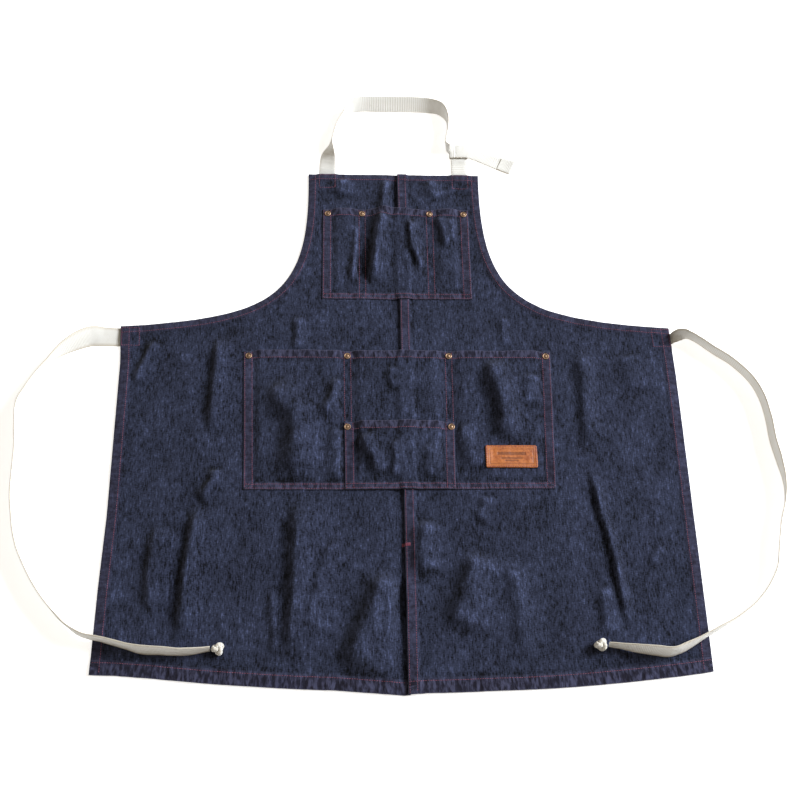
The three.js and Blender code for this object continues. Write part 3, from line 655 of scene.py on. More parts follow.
def body_front(x, y, right):
    """Height of the body's front above the table, in mm; right is "covered" for what pockets lie on."""
    x, y = np.asarray(x, float), np.asarray(y, float)
    share, _, _ = body_edges(x, y)
    hem = HEM_LIFT * (1 - smoothstep(0.9, 1.25, share))
    calm = 1 - 0.75 * under_pocket(x, y)
    near_edge = smoothstep(-0.6, 1.6, share)
    folds = FOLD_STRENGTH * folds_at(x, y, BODY_FOLDS) * (0.35 + 0.65 * near_edge)
    swell = SWELL * (1 + lattice(x, y, 95, 150, 3)) * near_edge
    fine = CRUMPLE * (0.7 + crumple(x, y, 20)) * (0.3 + 0.7 * calm) * (0.35 + 0.65 * near_edge)
    from_hem = y - hem_height(x)
    ripple = HEM_RIPPLE * (1 + lattice(x, y, 6.5, 26, 31)) * (1 - smoothstep(13, 24, from_hem))
    ripple += EDGE_RIPPLE * (1 + lattice(x, y, 5, 5, 33)) * (1 - near_edge) * smoothstep(20, 30, from_hem)
    at_rivet = rivet_lift(x, y)
    soft = np.maximum((folds + swell) * calm + fine, 0) * (1 - at_rivet) + ripple
    soft = soft + WEBBING_LIFT * webbing_lift(x, y)
    if not right:
        soft = soft * smoothstep(2, 26, np.abs(x - SEAM_X))
    return FLAT + np.maximum(hem, at_rivet * RIVET_LIFT) + soft + seam_lift(x, right)


print("front at the waist", body_front([100.0], [0.0], True).round(2), "mm")

# %% [markdown]
# ## The two halves of the body
# Each half is cut from one cloth. A grid of small faces is laid over it, its rows bent to the hem,
# the faces beyond the armhole deleted, and the new border spread evenly along the armhole's curve.
# Then the border is extruded round and under, as a hem is turned, and Solidify gives the cloth its
# thickness. Solidify alone would leave a knife edge where a real hem is a soft roll.
# %% Helpers for cloth
def rim_of(mesh):
    """The vertices round the open border, in order."""
    uses = {}
    for face in mesh.polygons:
        for key in face.edge_keys:
            uses[key] = uses.get(key, 0) + 1
    beside_vertex = {}
    for (a, b), count in uses.items():
        if count == 1:
            beside_vertex.setdefault(a, []).append(b)
            beside_vertex.setdefault(b, []).append(a)
    start = min(beside_vertex)
    rim, last = [start], None
    while True:
        ahead = [v for v in beside_vertex[rim[-1]] if v != last]
        last = rim[-1]
        if ahead[0] == start:
            return np.array(rim)
        rim.append(ahead[0])


def relax(mesh, points, free, rounds):
    """Evens out the free vertices between their neighbours, in plan."""
    ends = np.array([e.vertices[:] for e in mesh.edges])
    for _ in range(rounds):
        total, count = np.zeros((len(points), 2)), np.zeros(len(points))
        for a, b in ((0, 1), (1, 0)):
            np.add.at(total, ends[:, a], points[ends[:, b], :2])
            np.add.at(count, ends[:, a], 1)
        points[free, :2] = (total / np.maximum(count, 1)[:, None])[free]
    return points


def delete_faces(cloth, doomed):
    """Deletes the faces that are marked True."""
    only(cloth)
    bpy.ops.object.mode_set(mode="EDIT")
    bpy.ops.mesh.select_mode(type="FACE")
    bpy.ops.mesh.select_all(action="DESELECT")
    bpy.ops.object.mode_set(mode="OBJECT")
    cloth.data.polygons.foreach_set("select", doomed)
    bpy.ops.object.mode_set(mode="EDIT")
    bpy.ops.mesh.delete(type="FACE")
    bpy.ops.mesh.select_mode(type="VERT")
    bpy.ops.object.mode_set(mode="OBJECT")


LAP_STEP = 2.2  # how far a lap grows with each turn of the roll
ROLL = 0.55  # radius of the soft roll at a turned edge
MITRE_START, MITRE_SLOPE = 0.6, 0.9
SHARP_CORNER = 0.6  # cosine below which a corner gets a mitre


def turn_under(cloth, height, flap, depth, lap=None):
    """Rolls the border round and under. flap and depth are per rim point; lap marks what runs on flat."""
    mesh = cloth.data
    rim = rim_of(mesh)
    at = coordinates(mesh)[rim, :2] / MM
    ahead, behind = np.roll(at, -1, 0), np.roll(at, 1, 0)
    way = ahead - behind
    way /= np.linalg.norm(way, axis=1)[:, None]
    turning = np.sum(at[:, 0] * ahead[:, 1] - ahead[:, 0] * at[:, 1])
    inward = np.c_[-way[:, 1], way[:, 0]] * np.sign(turning)
    steps = np.linalg.norm(ahead - at, axis=1)
    # a flap is cut back towards each corner, so that two flaps meet in a mitre
    flap, depth = flap(at), depth(at)
    before, after = at - behind, ahead - at
    cosine = (before * after).sum(1) / (np.linalg.norm(before, axis=1) * np.linalg.norm(after, axis=1))
    sharp = cosine < SHARP_CORNER
    around = np.cumsum(np.r_[0, steps[:-1]])
    total = steps.sum()
    for corner in around[sharp]:
        away = np.abs((around - corner + total / 2) % total - total / 2)
        flap = np.minimum(flap, MITRE_START + MITRE_SLOPE * away)
    straight = np.zeros(len(at), bool) if lap is None else lap(at)

    def ring(number, inset, share):
        """One turn of the roll; where the cloth runs on as a lap, it goes outwards and stays flat."""
        inset = np.where(straight, -LAP_STEP * number, inset)
        where = at + inward * inset[:, None]
        front = height(where[:, 0], where[:, 1])
        return np.c_[where, front - np.where(straight, 0, share * depth)] * MM

    only(cloth)
    points = coordinates(mesh)
    points[rim] = ring(0, ROLL, 0.0)
    set_coordinates(mesh, points)
    place = {tuple(np.round(p, 6)): k for k, p in enumerate(coordinates(mesh)[rim])}
    turns = ((0.14, 0.14), (0.0, 0.5), (0.14, 0.86), (ROLL, 1.0), (flap * 0.5 + 0.3, 1.0), (flap, 1.0))
    for number, (inset, share) in enumerate(turns, 1):
        bpy.ops.object.mode_set(mode="EDIT")
        bpy.ops.mesh.select_mode(type="EDGE")
        bpy.ops.mesh.select_all(action="DESELECT")
        bpy.ops.mesh.select_non_manifold(extend=False, use_wire=False, use_multi_face=False,
                                         use_non_contiguous=False, use_verts=False)
        bpy.ops.mesh.extrude_edges_move()
        bpy.ops.mesh.select_mode(type="VERT")
        bpy.ops.object.mode_set(mode="OBJECT")
        points = coordinates(mesh)
        chosen = np.empty(len(mesh.vertices), bool)
        mesh.vertices.foreach_get("select", chosen)
        new = np.flatnonzero(chosen)
        order = np.array([place[tuple(np.round(points[i], 6))] for i in new])
        points[new] = ring(number, inset, share)[order]
        set_coordinates(mesh, points)
        kept = coordinates(mesh)
        place = {tuple(np.round(kept[i], 6)): k for i, k in zip(new, order)}


def thicken(cloth, thickness=LAYER):
    """Gives the sheet its thickness, downwards from its front."""
    only(cloth)
    modifier = cloth.modifiers.new("thickness", "SOLIDIFY")
    modifier.thickness = thickness * MM
    modifier.offset = -1
    modifier.use_even_offset = False
    bpy.ops.object.modifier_apply(modifier=modifier.name)
    bpy.ops.object.shade_smooth()


def store(mesh, name, values):
    """Keeps one number per vertex for the materials to read."""
    layer = mesh.attributes.new(name, "FLOAT", "POINT")
    layer.data.foreach_set("value", np.asarray(values, np.float32))


def triangle_count(piece):
    return sum(len(face.vertices) - 2 for face in piece.data.polygons)


print("cloth helpers ready; a turned edge rolls over", ROLL, "mm")

# %% Left and right halves
CELL = 2.7  # size of the grid's faces
ROWS_BELOW, ROWS_ABOVE = 203, 102  # rows of faces below and above the waist
HALF_FLAPS = dict(top=11.0, side=12.5, bottom=16.0)  # widths of cloth turned under
FLAP_DEPTH = 2.55


def body_half(side):
    """One half of the body; side is -1 for the left and 1 for the right."""
    right = side > 0
    low, high = (SEAM_X - 1.5, HALF_SKIRT) if right else (-HALF_SKIRT, SEAM_X + 2)
    name = "right_half" if right else "left_half"
    rows = ROWS_BELOW + ROWS_ABOVE
    cloth, u, v = unit_grid(name, round((high - low) / CELL), rows)
    x = low + (high - low) * u
    bottom = SKIRT_SIDE + HEM_BOW
    row = v * rows
    above = (row - ROWS_BELOW) * BIB_HEIGHT / ROWS_ABOVE
    y = np.where(row <= ROWS_BELOW, -bottom + row * bottom / ROWS_BELOW, above)
    y = y + (hem_height(x) + bottom) * (1 - smoothstep(0, 260, y + bottom))
    curve = armhole(side, 400)

    def within(px, py):
        limit = np.interp(py, curve[::-1, 1], np.abs(curve[::-1, 0]))
        return (py <= 0) | (np.abs(px) < limit)

    points = np.c_[x, y, np.zeros_like(x)]
    corners = np.array([f.vertices[:] for f in cloth.data.polygons])
    middle = points[corners].mean(1)
    set_coordinates(cloth.data, points * MM)
    delete_faces(cloth, ~within(middle[:, 0], middle[:, 1]))
    points = coordinates(cloth.data) / MM
    rim = rim_of(cloth.data)
    at = points[rim]
    waist = np.argmin(np.hypot(at[:, 0] - side * HALF_SKIRT, at[:, 1]))
    top = np.argmin(np.hypot(at[:, 0] - side * HALF_BIB, at[:, 1] - BIB_HEIGHT))
    rim = np.roll(rim, -waist)
    top = (top - waist) % len(rim)
    arc = rim[: top + 1] if points[rim[: top + 1], 1].min() > -5 else np.r_[rim[:1], rim[top:][::-1]]
    length = np.r_[0, np.cumsum(np.linalg.norm(np.diff(curve, axis=0), axis=1))][::-1]
    share = np.linspace(0, 1, len(arc)) * length[0]
    for axis in (0, 1):
        points[arc, axis] = np.interp(share, length[0] - length, curve[::-1, axis])
    near = beside(points[:, 0], points[:, 1], curve[::10])[0] < 16
    near[rim] = False
    points = relax(cloth.data, points, near, 30)
    points[:, 2] = body_front(points[:, 0], points[:, 1], right)
    set_coordinates(cloth.data, points * MM)

    def flap(at):
        widths = np.full(len(at), HALF_FLAPS["top"])
        widths[np.abs(at[:, 0]) > HALF_SKIRT - 1] = HALF_FLAPS["side"]
        widths[at[:, 1] < -SKIRT_SIDE + 1] = HALF_FLAPS["bottom"]
        return widths

    def at_seam(at):
        on_seam = np.abs(at[:, 0] - (SEAM_X + 2)) < 0.5
        return on_seam & (at[:, 1] < BIB_HEIGHT - 1) & (at[:, 1] > -bottom + 3)

    turn_under(cloth, lambda px, py: body_front(px, py, right), flap,
               lambda at: np.full(len(at), FLAP_DEPTH), None if right else at_seam)
    thicken(cloth)
    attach(cloth, "apron")
    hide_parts("right_panel" if right else "left_panel")
    area = sum(face.area for face in cloth.data.polygons) / 2
    print(cloth.name, triangle_count(cloth), "triangles, area", round(area, 4), "m2")
    return cloth


left_half = body_half(-1)
right_half = body_half(1)

# %% [markdown]
# ## Denim
# Denim is woven from dark indigo warp and pale weft, so it looks streaked along the warp, speckled
# with slubs, and paler wherever it is rubbed: on hems, on the little ridges that sewn edges pucker
# into, and on crests of folds. Painted shade darkens the hollows between those ridges and the hollows
# of folds. The cloth carries five attributes for this: its distance from the nearest edge, its length
# along that edge, whether it is in a sewn margin, how much that margin is puckered, and how far the
# cloth stands above its surroundings, for wear, or below them, for painted shade.
# %% Denim finish
DARKEST_INDIGO, INDIGO = (0.0022, 0.0026, 0.0050, 1), (0.0255, 0.031, 0.060, 1)
PALE_INDIGO = (0.082, 0.103, 0.208, 1)
MARGIN_INDIGO, RIDGE_INDIGO = (0.034, 0.027, 0.052, 1), (0.085, 0.090, 0.165, 1)
# the first colour is painted shade for the hollows between pucker ridges
PUCKER_SHADE_INDIGO, EDGE_INDIGO = (0.007, 0.006, 0.011, 1), (0.085, 0.085, 0.14, 1)
PUCKER_LENGTH, PUCKER_REACH = 5.2, 14  # mm along the edge, and in from it
# share of the tone set by the relief: paler crests as wear, darker hollows as painted shade
WEAR_AND_SHADE_SHARE = 0.05


def denim_material():
    material, tree, shader = new_material("indigo_denim", 0.95, Sheen_Weight=0.06, Sheen_Roughness=0.5,
                                          IOR=1.2)
    place = node(tree, "ShaderNodeTexCoord").outputs["Object"]
    edge = attribute(tree, "edge")
    along = attribute(tree, "along")
    hem = attribute(tree, "hem")
    wear_and_shade = attribute(tree, "wear_and_shade")
    margin = attribute(tree, "margin")
    slub = stretched_noise(tree, place, (0.0016, 0.0075, 0.05), 3)
    speck = stretched_noise(tree, place, (0.0034, 0.0016, 0.05), 3)
    streak = stretched_noise(tree, place, (0.0034, 0.022, 0.05), 3)
    mottle = stretched_noise(tree, place, (0.010, 0.014, 0.05), 4)
    cloud = stretched_noise(tree, place, (0.045, 0.07, 0.05), 3)
    grain = maths(tree, "ADD", scaled(tree, slub, 0.6), scaled(tree, speck, 0.4))
    tone = scaled(tree, grain, 0.54)
    for pattern, weight in ((streak, 0.18), (mottle, 0.14), (cloud, 0.14)):
        tone = maths(tree, "ADD", tone, scaled(tree, pattern, weight))
    # fold crests paler as wear, fold hollows darker as painted shade
    tone = maths(tree, "ADD", tone, scaled(tree, wear_and_shade, WEAR_AND_SHADE_SHARE))
    deep = blended(tree, between(tree, tone, 0.39, 0.54), DARKEST_INDIGO, INDIGO)
    colour = blended(tree, between(tree, tone, 0.52, 0.68), deep, PALE_INDIGO)
    colour = blended(tree, scaled(tree, margin, 0.35), colour, MARGIN_INDIGO)
    # little ridges across each sewn edge, paler where rubbed, with painted shade in the hollows between them
    across = node(tree, "ShaderNodeCombineXYZ", {"X": scaled(tree, along, 1 / PUCKER_LENGTH),
                                                 "Y": scaled(tree, edge, 1 / PUCKER_REACH)}).outputs[0]
    pucker = node(tree, "ShaderNodeTexNoise", {"Vector": across, "Scale": 1.0, "Detail": 2.0}).outputs["Fac"]
    pucker = between(tree, pucker, 0.34, 0.66)
    rubbed = scaled(tree, pucker, hem)
    colour = blended(tree, scaled(tree, rubbed, 0.46), colour, RIDGE_INDIGO)
    shaded = scaled(tree, maths(tree, "SUBTRACT", 1.0, pucker), hem)
    colour = blended(tree, scaled(tree, shaded, 0.7), colour, PUCKER_SHADE_INDIGO)
    fold_line = between(tree, edge, 1.5, 0.3)
    colour = blended(tree, scaled(tree, fold_line, 0.5), colour, EDGE_INDIGO)
    tree.links.new(colour, shader.inputs["Base Color"])
    fine = maths(tree, "ADD", scaled(tree, grain, 0.5), scaled(tree, rubbed, 1.3))
    fine = maths(tree, "ADD", fine, scaled(tree, mottle, 0.5))
    bump(tree, shader, fine, 0.0006, 0.9)
    return material


denim = denim_material()


# the relief that sets wear on crests and painted shade in hollows
RELIEF_AROUND = [(5, 0), (-5, 0), (0, 8), (0, -8)]
RELIEF_HEIGHT = 1.1  # mm above its surroundings where denim is rubbed palest


def relief_wear_and_shade(x, y, front):
    """How far the cloth stands above (rubbed pale, as wear) or below (painted shade) its surroundings, -1..1.
    """
    around = [front(x + dx, y + dy) for dx, dy in RELIEF_AROUND]
    return np.clip((front(x, y) - np.mean(around, axis=0)) / RELIEF_HEIGHT, -1, 1)


def finish_cloth(cloth, edge, along, margin, hem, wear_and_shade):
    """Stores what the denim reads, and puts it on."""
    for name, values in (("edge", edge), ("along", along), ("margin", margin), ("hem", hem), ("wear_and_shade", wear_and_shade)):
        store(cloth.data, name, values)
    cloth.data.materials.append(denim)


for cloth, right in ((left_half, False), (right_half, True)):
    at = coordinates(cloth.data) / MM
    x, y = at[:, 0], at[:, 1]
    share, edge, along = body_edges(x, y)
    margin = 1 - smoothstep(0.85, 1.3, share)
    hem = margin * np.where(y - hem_height(x) < 22, 0.95, 0.35)
    if right:
        strip = x - (SEAM_X - 1.5)
        along = np.where(strip < edge, y, along)
        edge = np.minimum(edge, strip)
        on_strip = 1 - smoothstep(12, 16, strip)
        margin, hem = np.maximum(margin, 0.8 * on_strip), np.maximum(hem, 0.3 * on_strip)
    wear_and_shade = relief_wear_and_shade(x, y, lambda px, py: body_front(px, py, right))
    finish_cloth(cloth, edge, along, margin, hem, wear_and_shade * (1 - margin))
    at[:, 0], at[:, 1] = settled(x, y)
    set_coordinates(cloth.data, at * MM)
print("denim on", left_half.name, "and", right_half.name)

# %% [markdown]
# ## Pockets
# A pocket is one more cloth on the body, turned under on all four sides and sewn down on three. It
# clears the body by its own thickness, lifts a little where a compartment is free, is drawn down
# along the dividers, and has folds of its own. The small pocket does the same on the waist pocket.
# %% Pocket shapes
def pocket_shape(part, top_width, bottom_width, divider):
    """A pocket's middle, top and height from the frame, its widths, and its dividers' place."""
    low, high = box_mm(part)
    return dict(x=middle_of(part)[0], top=high[1], height=high[1] - low[1], top_width=top_width,
                bottom_width=bottom_width, divider=divider)


BIB_POCKET = pocket_shape("bib_pocket", 229.0, 229.0, 53.0)
WAIST_POCKET = pocket_shape("waist_pocket", 458.0, 444.0, 75.5)
SMALL_POCKET = pocket_shape("small_pocket", 160.0, 157.4, 75.5)
GAPE = 3.2  # how far a free compartment lifts
POCKET_FOLD_STRENGTH = 2.6
POCKET_CRUMPLE = 1.2
POCKET_HEM = 0.9
POCKET_GAP = 0.15
POCKET_CLOTH = 0.8
BIB_POCKET_FOLDS = [
    ([(-13, 214), (-19, 199), (-23, 176), (-27, 149), (-31, 119), (-35, 93), (-37, 71)], 9, 14, 5),
    ([(23, 197), (25, 168), (27, 137), (35, 117), (41, 98)], 4, 10, 3),
    ([(-60, 185), (-58, 167), (-59, 140), (-62, 114), (-65, 93), (-67, 71)], 6, 8, 3),
    ([(65, 199), (74, 177), (79, 155), (80, 137)], 6, 8, 2),
    ([(86, 195), (90, 168), (90, 148)], 6, 8, 1.5),
]
WAIST_POCKET_FOLDS = [
    ([(-188, -87), (-170, -116), (-152, -145), (-147, -172), (-149, -201), (-152, -229), (-156, -251)],
     18, 25, 6),
    ([(-89, -82), (-93, -109), (-101, -129), (-108, -149)], 8, 10, 3),
    ([(-87, -160), (-87, -210), (-88, -250)], 15, 4, 2.5),
    ([(-9, -65), (-11, -85), (-3, -105)], 6, 10, 1.5),
    ([(143, -46), (143, -88), (152, -119), (156, -152), (150, -192)], 14, 22, 6),
    ([(195, -75), (193, -132)], 12, 15, 2),
    ([(91, -155), (101, -201), (115, -233)], 12, 14, 2),
]
SMALL_POCKET_FOLDS = [
    ([(-55, -175), (-46, -195), (-36, -215), (-24, -240)], 8, 15, 3),
    ([(-8, -184), (-5, -215), (-7, -245)], 6, 10, 2),
    ([(40, -190), (44, -215), (38, -242)], 7, 10, 1.5),
]


def covered_body(x, y):
    """What a pocket on the body lies on."""
    return body_front(x, y, "covered")


def pocket_frame(pocket, x, y):
    """Distances inside the pocket's sides, bottom and mouth, and the place across it."""
    down = (pocket["top"] - y) / pocket["height"]
    half = pocket["top_width"] / 2 * (1 + (pocket["bottom_width"] / pocket["top_width"] - 1) * down)
    across = (x - pocket["x"]) * (pocket["top_width"] / 2) / half
    return half - np.abs(x - pocket["x"]), y - (pocket["top"] - pocket["height"]), pocket["top"] - y, across


def pocket_front(pocket, folds, below, seed, x, y, split=True):
    """Height of a pocket's front, over below, the height of what it lies on."""
    x, y = np.asarray(x, float), np.asarray(y, float)
    side, bottom, mouth, across = pocket_frame(pocket, x, y)
    hem = np.maximum.reduce([1 - smoothstep(12.5, 15.5, side), 1 - smoothstep(9, 12, bottom),
                             1 - smoothstep(11.5, 14.5, mouth)])
    divider = np.abs(np.abs(across) - pocket["divider"]) if split else side - 6
    free = smoothstep(5.5, 22, divider) * smoothstep(13, 26, side) * smoothstep(9, 55, bottom)
    sewn = np.minimum.reduce([side, bottom, divider + 1.0])
    ripple = lattice(x, y, 2.9, 30, seed + 3) * (1 - smoothstep(9, 17, bottom)) * 0.42
    ripple += lattice(x, y, 3.4, 22, seed + 4) * (1 - smoothstep(10, 16, mouth)) * 0.3
    ripple += lattice(x, y, 22, 3.6, seed + 5) * (1 - smoothstep(5, 9, np.minimum(side, divider))) * 0.2
    own = POCKET_FOLD_STRENGTH * folds_at(x, y, folds) * smoothstep(2, 16, sewn)
    fine = POCKET_CRUMPLE * (0.5 + crumple(x, y, seed)) * smoothstep(1, 10, sewn)
    calm = 1 - rivet_lift(x, y)
    lift = (GAPE * free + own + np.maximum(fine, 0)) * calm + ripple * (0.3 + 0.7 * calm)
    return below(x, y) + POCKET_GAP + LAYER + POCKET_HEM * hem + np.maximum(lift, -0.1)


def bib_pocket_front(x, y):
    return pocket_front(BIB_POCKET, BIB_POCKET_FOLDS, covered_body, 40, x, y)


def waist_pocket_front(x, y):
    return pocket_front(WAIST_POCKET, WAIST_POCKET_FOLDS, covered_body, 50, x, y)


def small_pocket_front(x, y):
    return pocket_front(SMALL_POCKET, SMALL_POCKET_FOLDS, waist_pocket_front, 60, x, y, split=False)


def make_pocket(name, cad_node, pocket, front, cell):
    cloth, u, v = unit_grid(name, round(pocket["top_width"] / cell), round(pocket["height"] / cell))
    y = pocket["top"] - pocket["height"] * (1 - v)
    narrowing = 1 + (pocket["bottom_width"] / pocket["top_width"] - 1) * (1 - v)
    x = pocket["x"] + (u - 0.5) * pocket["top_width"] * narrowing
    set_coordinates(cloth.data, np.c_[x, y, front(x, y)] * MM)
    turn_under(cloth, front, lambda at: np.where(at[:, 1] > pocket["top"] - 1, 11.0, 8.0),
               lambda at: np.full(len(at), 1.72))
    thicken(cloth, POCKET_CLOTH)
    at = coordinates(cloth.data) / MM
    x, y = at[:, 0], at[:, 1]
    side, bottom, mouth, across = pocket_frame(pocket, x, y)
    edge = np.minimum.reduce([side, bottom, mouth])
    along = np.where(side < np.minimum(bottom, mouth), y, x)
    margins = 1 - smoothstep(12, 14, side), 1 - smoothstep(9, 12, bottom), 1 - smoothstep(11, 13, mouth)
    margin = np.maximum.reduce(margins)
    hem = np.maximum.reduce([0.35 * margins[0], 0.8 * margins[1], 0.9 * margins[2]])
    wear_and_shade = relief_wear_and_shade(x, y, front) * (1 - margin)
    finish_cloth(cloth, np.maximum(edge, 0), along, margin, hem, wear_and_shade)
    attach(cloth, "apron")
    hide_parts(cad_node)
    print(name, triangle_count(cloth), "triangles")
    return cloth


print("pockets", [round(pocket["height"]) for pocket in (BIB_POCKET, WAIST_POCKET, SMALL_POCKET)], "mm high")

# %% The three pockets
halves = [left_half, right_half]
bib_cloth = make_pocket("bib_pocket_cloth", "bib_pocket", BIB_POCKET, bib_pocket_front, 1.7)
waist_cloth = make_pocket("waist_pocket_cloth", "waist_pocket", WAIST_POCKET, waist_pocket_front, 1.75)
small_cloth = make_pocket("small_pocket_cloth", "small_pocket", SMALL_POCKET, small_pocket_front, 1.6)

# %% [markdown]
# ## Stitching
# All the seams are lockstitched in burgundy thread. One stitch is modelled, a short oval of thread
# that dips into the cloth at both ends, and copied along each row, lying on whatever cloth is on top
# there. Each piece of cloth has its rows in one object.
# %% Thread
BURGUNDY, FADED_BURGUNDY = (0.185, 0.027, 0.064, 1), (0.31, 0.08, 0.15, 1)
TWIST_SHADE = (0.035, 0.008, 0.018, 1)
PITCH, STITCH_LENGTH, STITCH_WIDTH, STITCH_HEIGHT = 3.3, 2.5, 0.78, 0.6
STITCH_REACH = 1.2  # mm from a stitch's middle to where it dips in
STEEPEST = 2.0  # mm; a stitch that would climb further is left out


def thread_material():
    material, tree, shader = new_material("burgundy_thread", 0.7, Sheen_Weight=0.2)
    place = node(tree, "ShaderNodeTexCoord").outputs["Object"]
    fade = stretched_noise(tree, place, (0.012, 0.012, 0.012), 3)
    twist = stretched_noise(tree, place, (0.0005, 0.0005, 0.0005), 1)
    colour = blended(tree, between(tree, fade, 0.35, 0.7), BURGUNDY, FADED_BURGUNDY)
    colour = blended(tree, scaled(tree, twist, 0.4), colour, TWIST_SHADE)
    tree.links.new(colour, shader.inputs["Base Color"])
    bump(tree, shader, twist, 0.0002, 0.7)
    return material


thread = thread_material()

# the model stitch: 6 sides, pointed ends
bpy.ops.object.select_all(action="DESELECT")
bpy.ops.mesh.primitive_uv_sphere_add(segments=6, ring_count=4, radius=0.5, rotation=(0, math.pi / 2, 0))
bpy.ops.object.transform_apply(location=False, rotation=True, scale=False)
model_stitch = bpy.context.object
STITCH_POINTS = coordinates(model_stitch.data)
STITCH_FACES = [tuple(f.vertices) for f in model_stitch.data.polygons]
bpy.ops.object.delete()


def top_of(cloths):
    """A function that gives the height and normal of the highest of the cloths at a point."""
    trees = []
    for cloth in cloths:
        faces = [face.vertices[:] for face in cloth.data.polygons]
        trees.append(BVHTree.FromPolygons(coordinates(cloth.data), faces))

    def height(x, y):
        hits = [tree.ray_cast(Vector((x * MM, y * MM, 0.08)), Vector((0, 0, -1))) for tree in trees]
        found = [hit for hit in hits if hit[0] is not None]
        if not found:
            return None
        best = max(found, key=lambda hit: hit[0].z)
        return best[0].z / MM, np.array(best[1])

    return height


def sew(name, rows, cloths, seed=0):
    """Stitches along each row of (x, y) points, lying on the highest of the cloths."""
    height = top_of(cloths)
    rng = np.random.default_rng(seed)
    points, faces = [], []
    size = np.array([STITCH_LENGTH, STITCH_WIDTH, STITCH_HEIGHT])
    for row in rows:
        row = np.array(row, float)
        reach = np.r_[0, np.cumsum(np.linalg.norm(np.diff(row, axis=0), axis=1))]
        for s in np.arange(PITCH / 2, reach[-1], PITCH):
            ends = s - STITCH_REACH, s + STITCH_REACH
            (x0, x1), (y0, y1) = (np.interp(ends, reach, row[:, k]) for k in (0, 1))
            a, b = height(x0, y0), height(x1, y1)
            if a is None or b is None:
                continue
            along = np.array([x1 - x0, y1 - y0, b[0] - a[0]])
            if not np.linalg.norm(along) or abs(along[2]) > STEEPEST:
                continue
            along /= np.linalg.norm(along)
            face = a[1] + b[1]
            across = np.cross(face, along)
            across /= np.linalg.norm(across)
            out = np.cross(along, across)
            middle = np.array([(x0 + x1) / 2, (y0 + y1) / 2, (a[0] + b[0]) / 2]) + out * 0.08
            wobble = across * rng.uniform(-0.12, 0.12)
            local = STITCH_POINTS * size * rng.uniform(0.92, 1.08)
            faces += [tuple(len(points) * len(STITCH_POINTS) + i for i in f) for f in STITCH_FACES]
            place = middle + wobble
            points.append(place + local[:, :1] * along + local[:, 1:2] * across + local[:, 2:] * out)
    mesh = bpy.data.meshes.new(name)
    mesh.from_pydata((np.vstack(points) * MM).tolist(), [], faces)
    mesh.materials.append(thread)
    mesh.shade_smooth()
    sewn = bpy.data.objects.new(name, mesh)
    bpy.context.scene.collection.objects.link(sewn)
    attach(sewn, "apron")
    print(name, len(points), "stitches")


def box_rows(x0, x1, y0, y1):
    """Four rows round a rectangle."""
    return [[(x0, y0), (x1, y0)], [(x1, y0), (x1, y1)], [(x1, y1), (x0, y1)], [(x0, y1), (x0, y0)]]


def offset_line(line, inset, side):
    """The line moved sideways by inset; side 1 moves it to the left of its travel."""
    line = np.array(line)
    way = np.gradient(line, axis=0)
    way /= np.linalg.norm(way, axis=1)[:, None]
    return line + side * inset * np.c_[-way[:, 1], way[:, 0]]


def pocket_rows(pocket, dividers=True):
    """Two rows at each side and at the bottom, one at the mouth, and one each side of a divider."""
    top, bottom = pocket["top"], pocket["top"] - pocket["height"]
    shrink = pocket["bottom_width"] / pocket["top_width"]

    def upright(offset, inset):
        high_x, low_x = pocket["x"] + offset - inset, pocket["x"] + offset * shrink - inset
        return [(high_x, top - 1.5), (low_x, bottom + 1.5)]

    half = pocket["top_width"] / 2
    rows = [upright(s * half, s * inset) for s in (-1, 1) for inset in (1.8, 12.3)]
    if dividers:
        rows += [upright(s * pocket["divider"], inset) for s in (-1, 1) for inset in (-4.8, 4.8)]
    low_reach = half * shrink - 2
    for reach, y in ((low_reach, bottom + 1.9), (low_reach, bottom + 8.4), (half - 2, top - 11.5)):
        rows.append([(pocket["x"] - reach, y), (pocket["x"] + reach, y)])
    return rows


print("one stitch is", STITCH_LENGTH, "mm long, every", PITCH, "mm")

# %% [markdown]
# ## Where the rows run
# The body has one row along every hem, two down the felled seam, and a box of stitches where each end
# of webbing is held. The rows are drawn on the cut shape and then moved with the cloth. A pocket has
# double rows where it is sewn down and a single one along its mouth.
# %% Rows on the body and the pockets
for side, cloth in ((-1, left_half), (1, right_half)):
    seam = SEAM_X - 1.5 if side > 0 else SEAM_X - 2
    hem_run = np.linspace(side * (HALF_SKIRT - 2), seam + side * 1.0, 60)
    rows = [
        np.c_[hem_run, hem_height(hem_run) + 16.5],
        [(side * (HALF_SKIRT - 13), y) for y in np.linspace(0, -SKIRT_SIDE + 2, 30)],
        offset_line(armhole(side), 10.8, -side),
        [(side * (HALF_BIB - 2), BIB_HEIGHT - 10.8), (seam, BIB_HEIGHT - 10.8)],
    ]
    rows += box_rows(side * 93.5, side * 118.5, BIB_HEIGHT - 2, BIB_HEIGHT - 26)
    rows += box_rows(side * (HALF_SKIRT - 2), side * (HALF_SKIRT - 28), -3, -32)
    if side > 0:
        for x in (SEAM_X + 0.6, SEAM_X + 11.0):
            rows.append([(x, BIB_HEIGHT - 1), (x, hem_height(SEAM_X) + 2)])
    rows = [np.c_[settled(*np.array(row, float).T)] for row in rows]
    sew(f"{'right' if side > 0 else 'left'}_half_stitching", rows, [cloth], seed=side + 3)
sew("bib_pocket_stitching", pocket_rows(BIB_POCKET), [bib_cloth], seed=5)
sew("waist_pocket_stitching", pocket_rows(WAIST_POCKET), [waist_cloth], seed=6)
sew("small_pocket_stitching", pocket_rows(SMALL_POCKET, dividers=False), [small_cloth], seed=7)

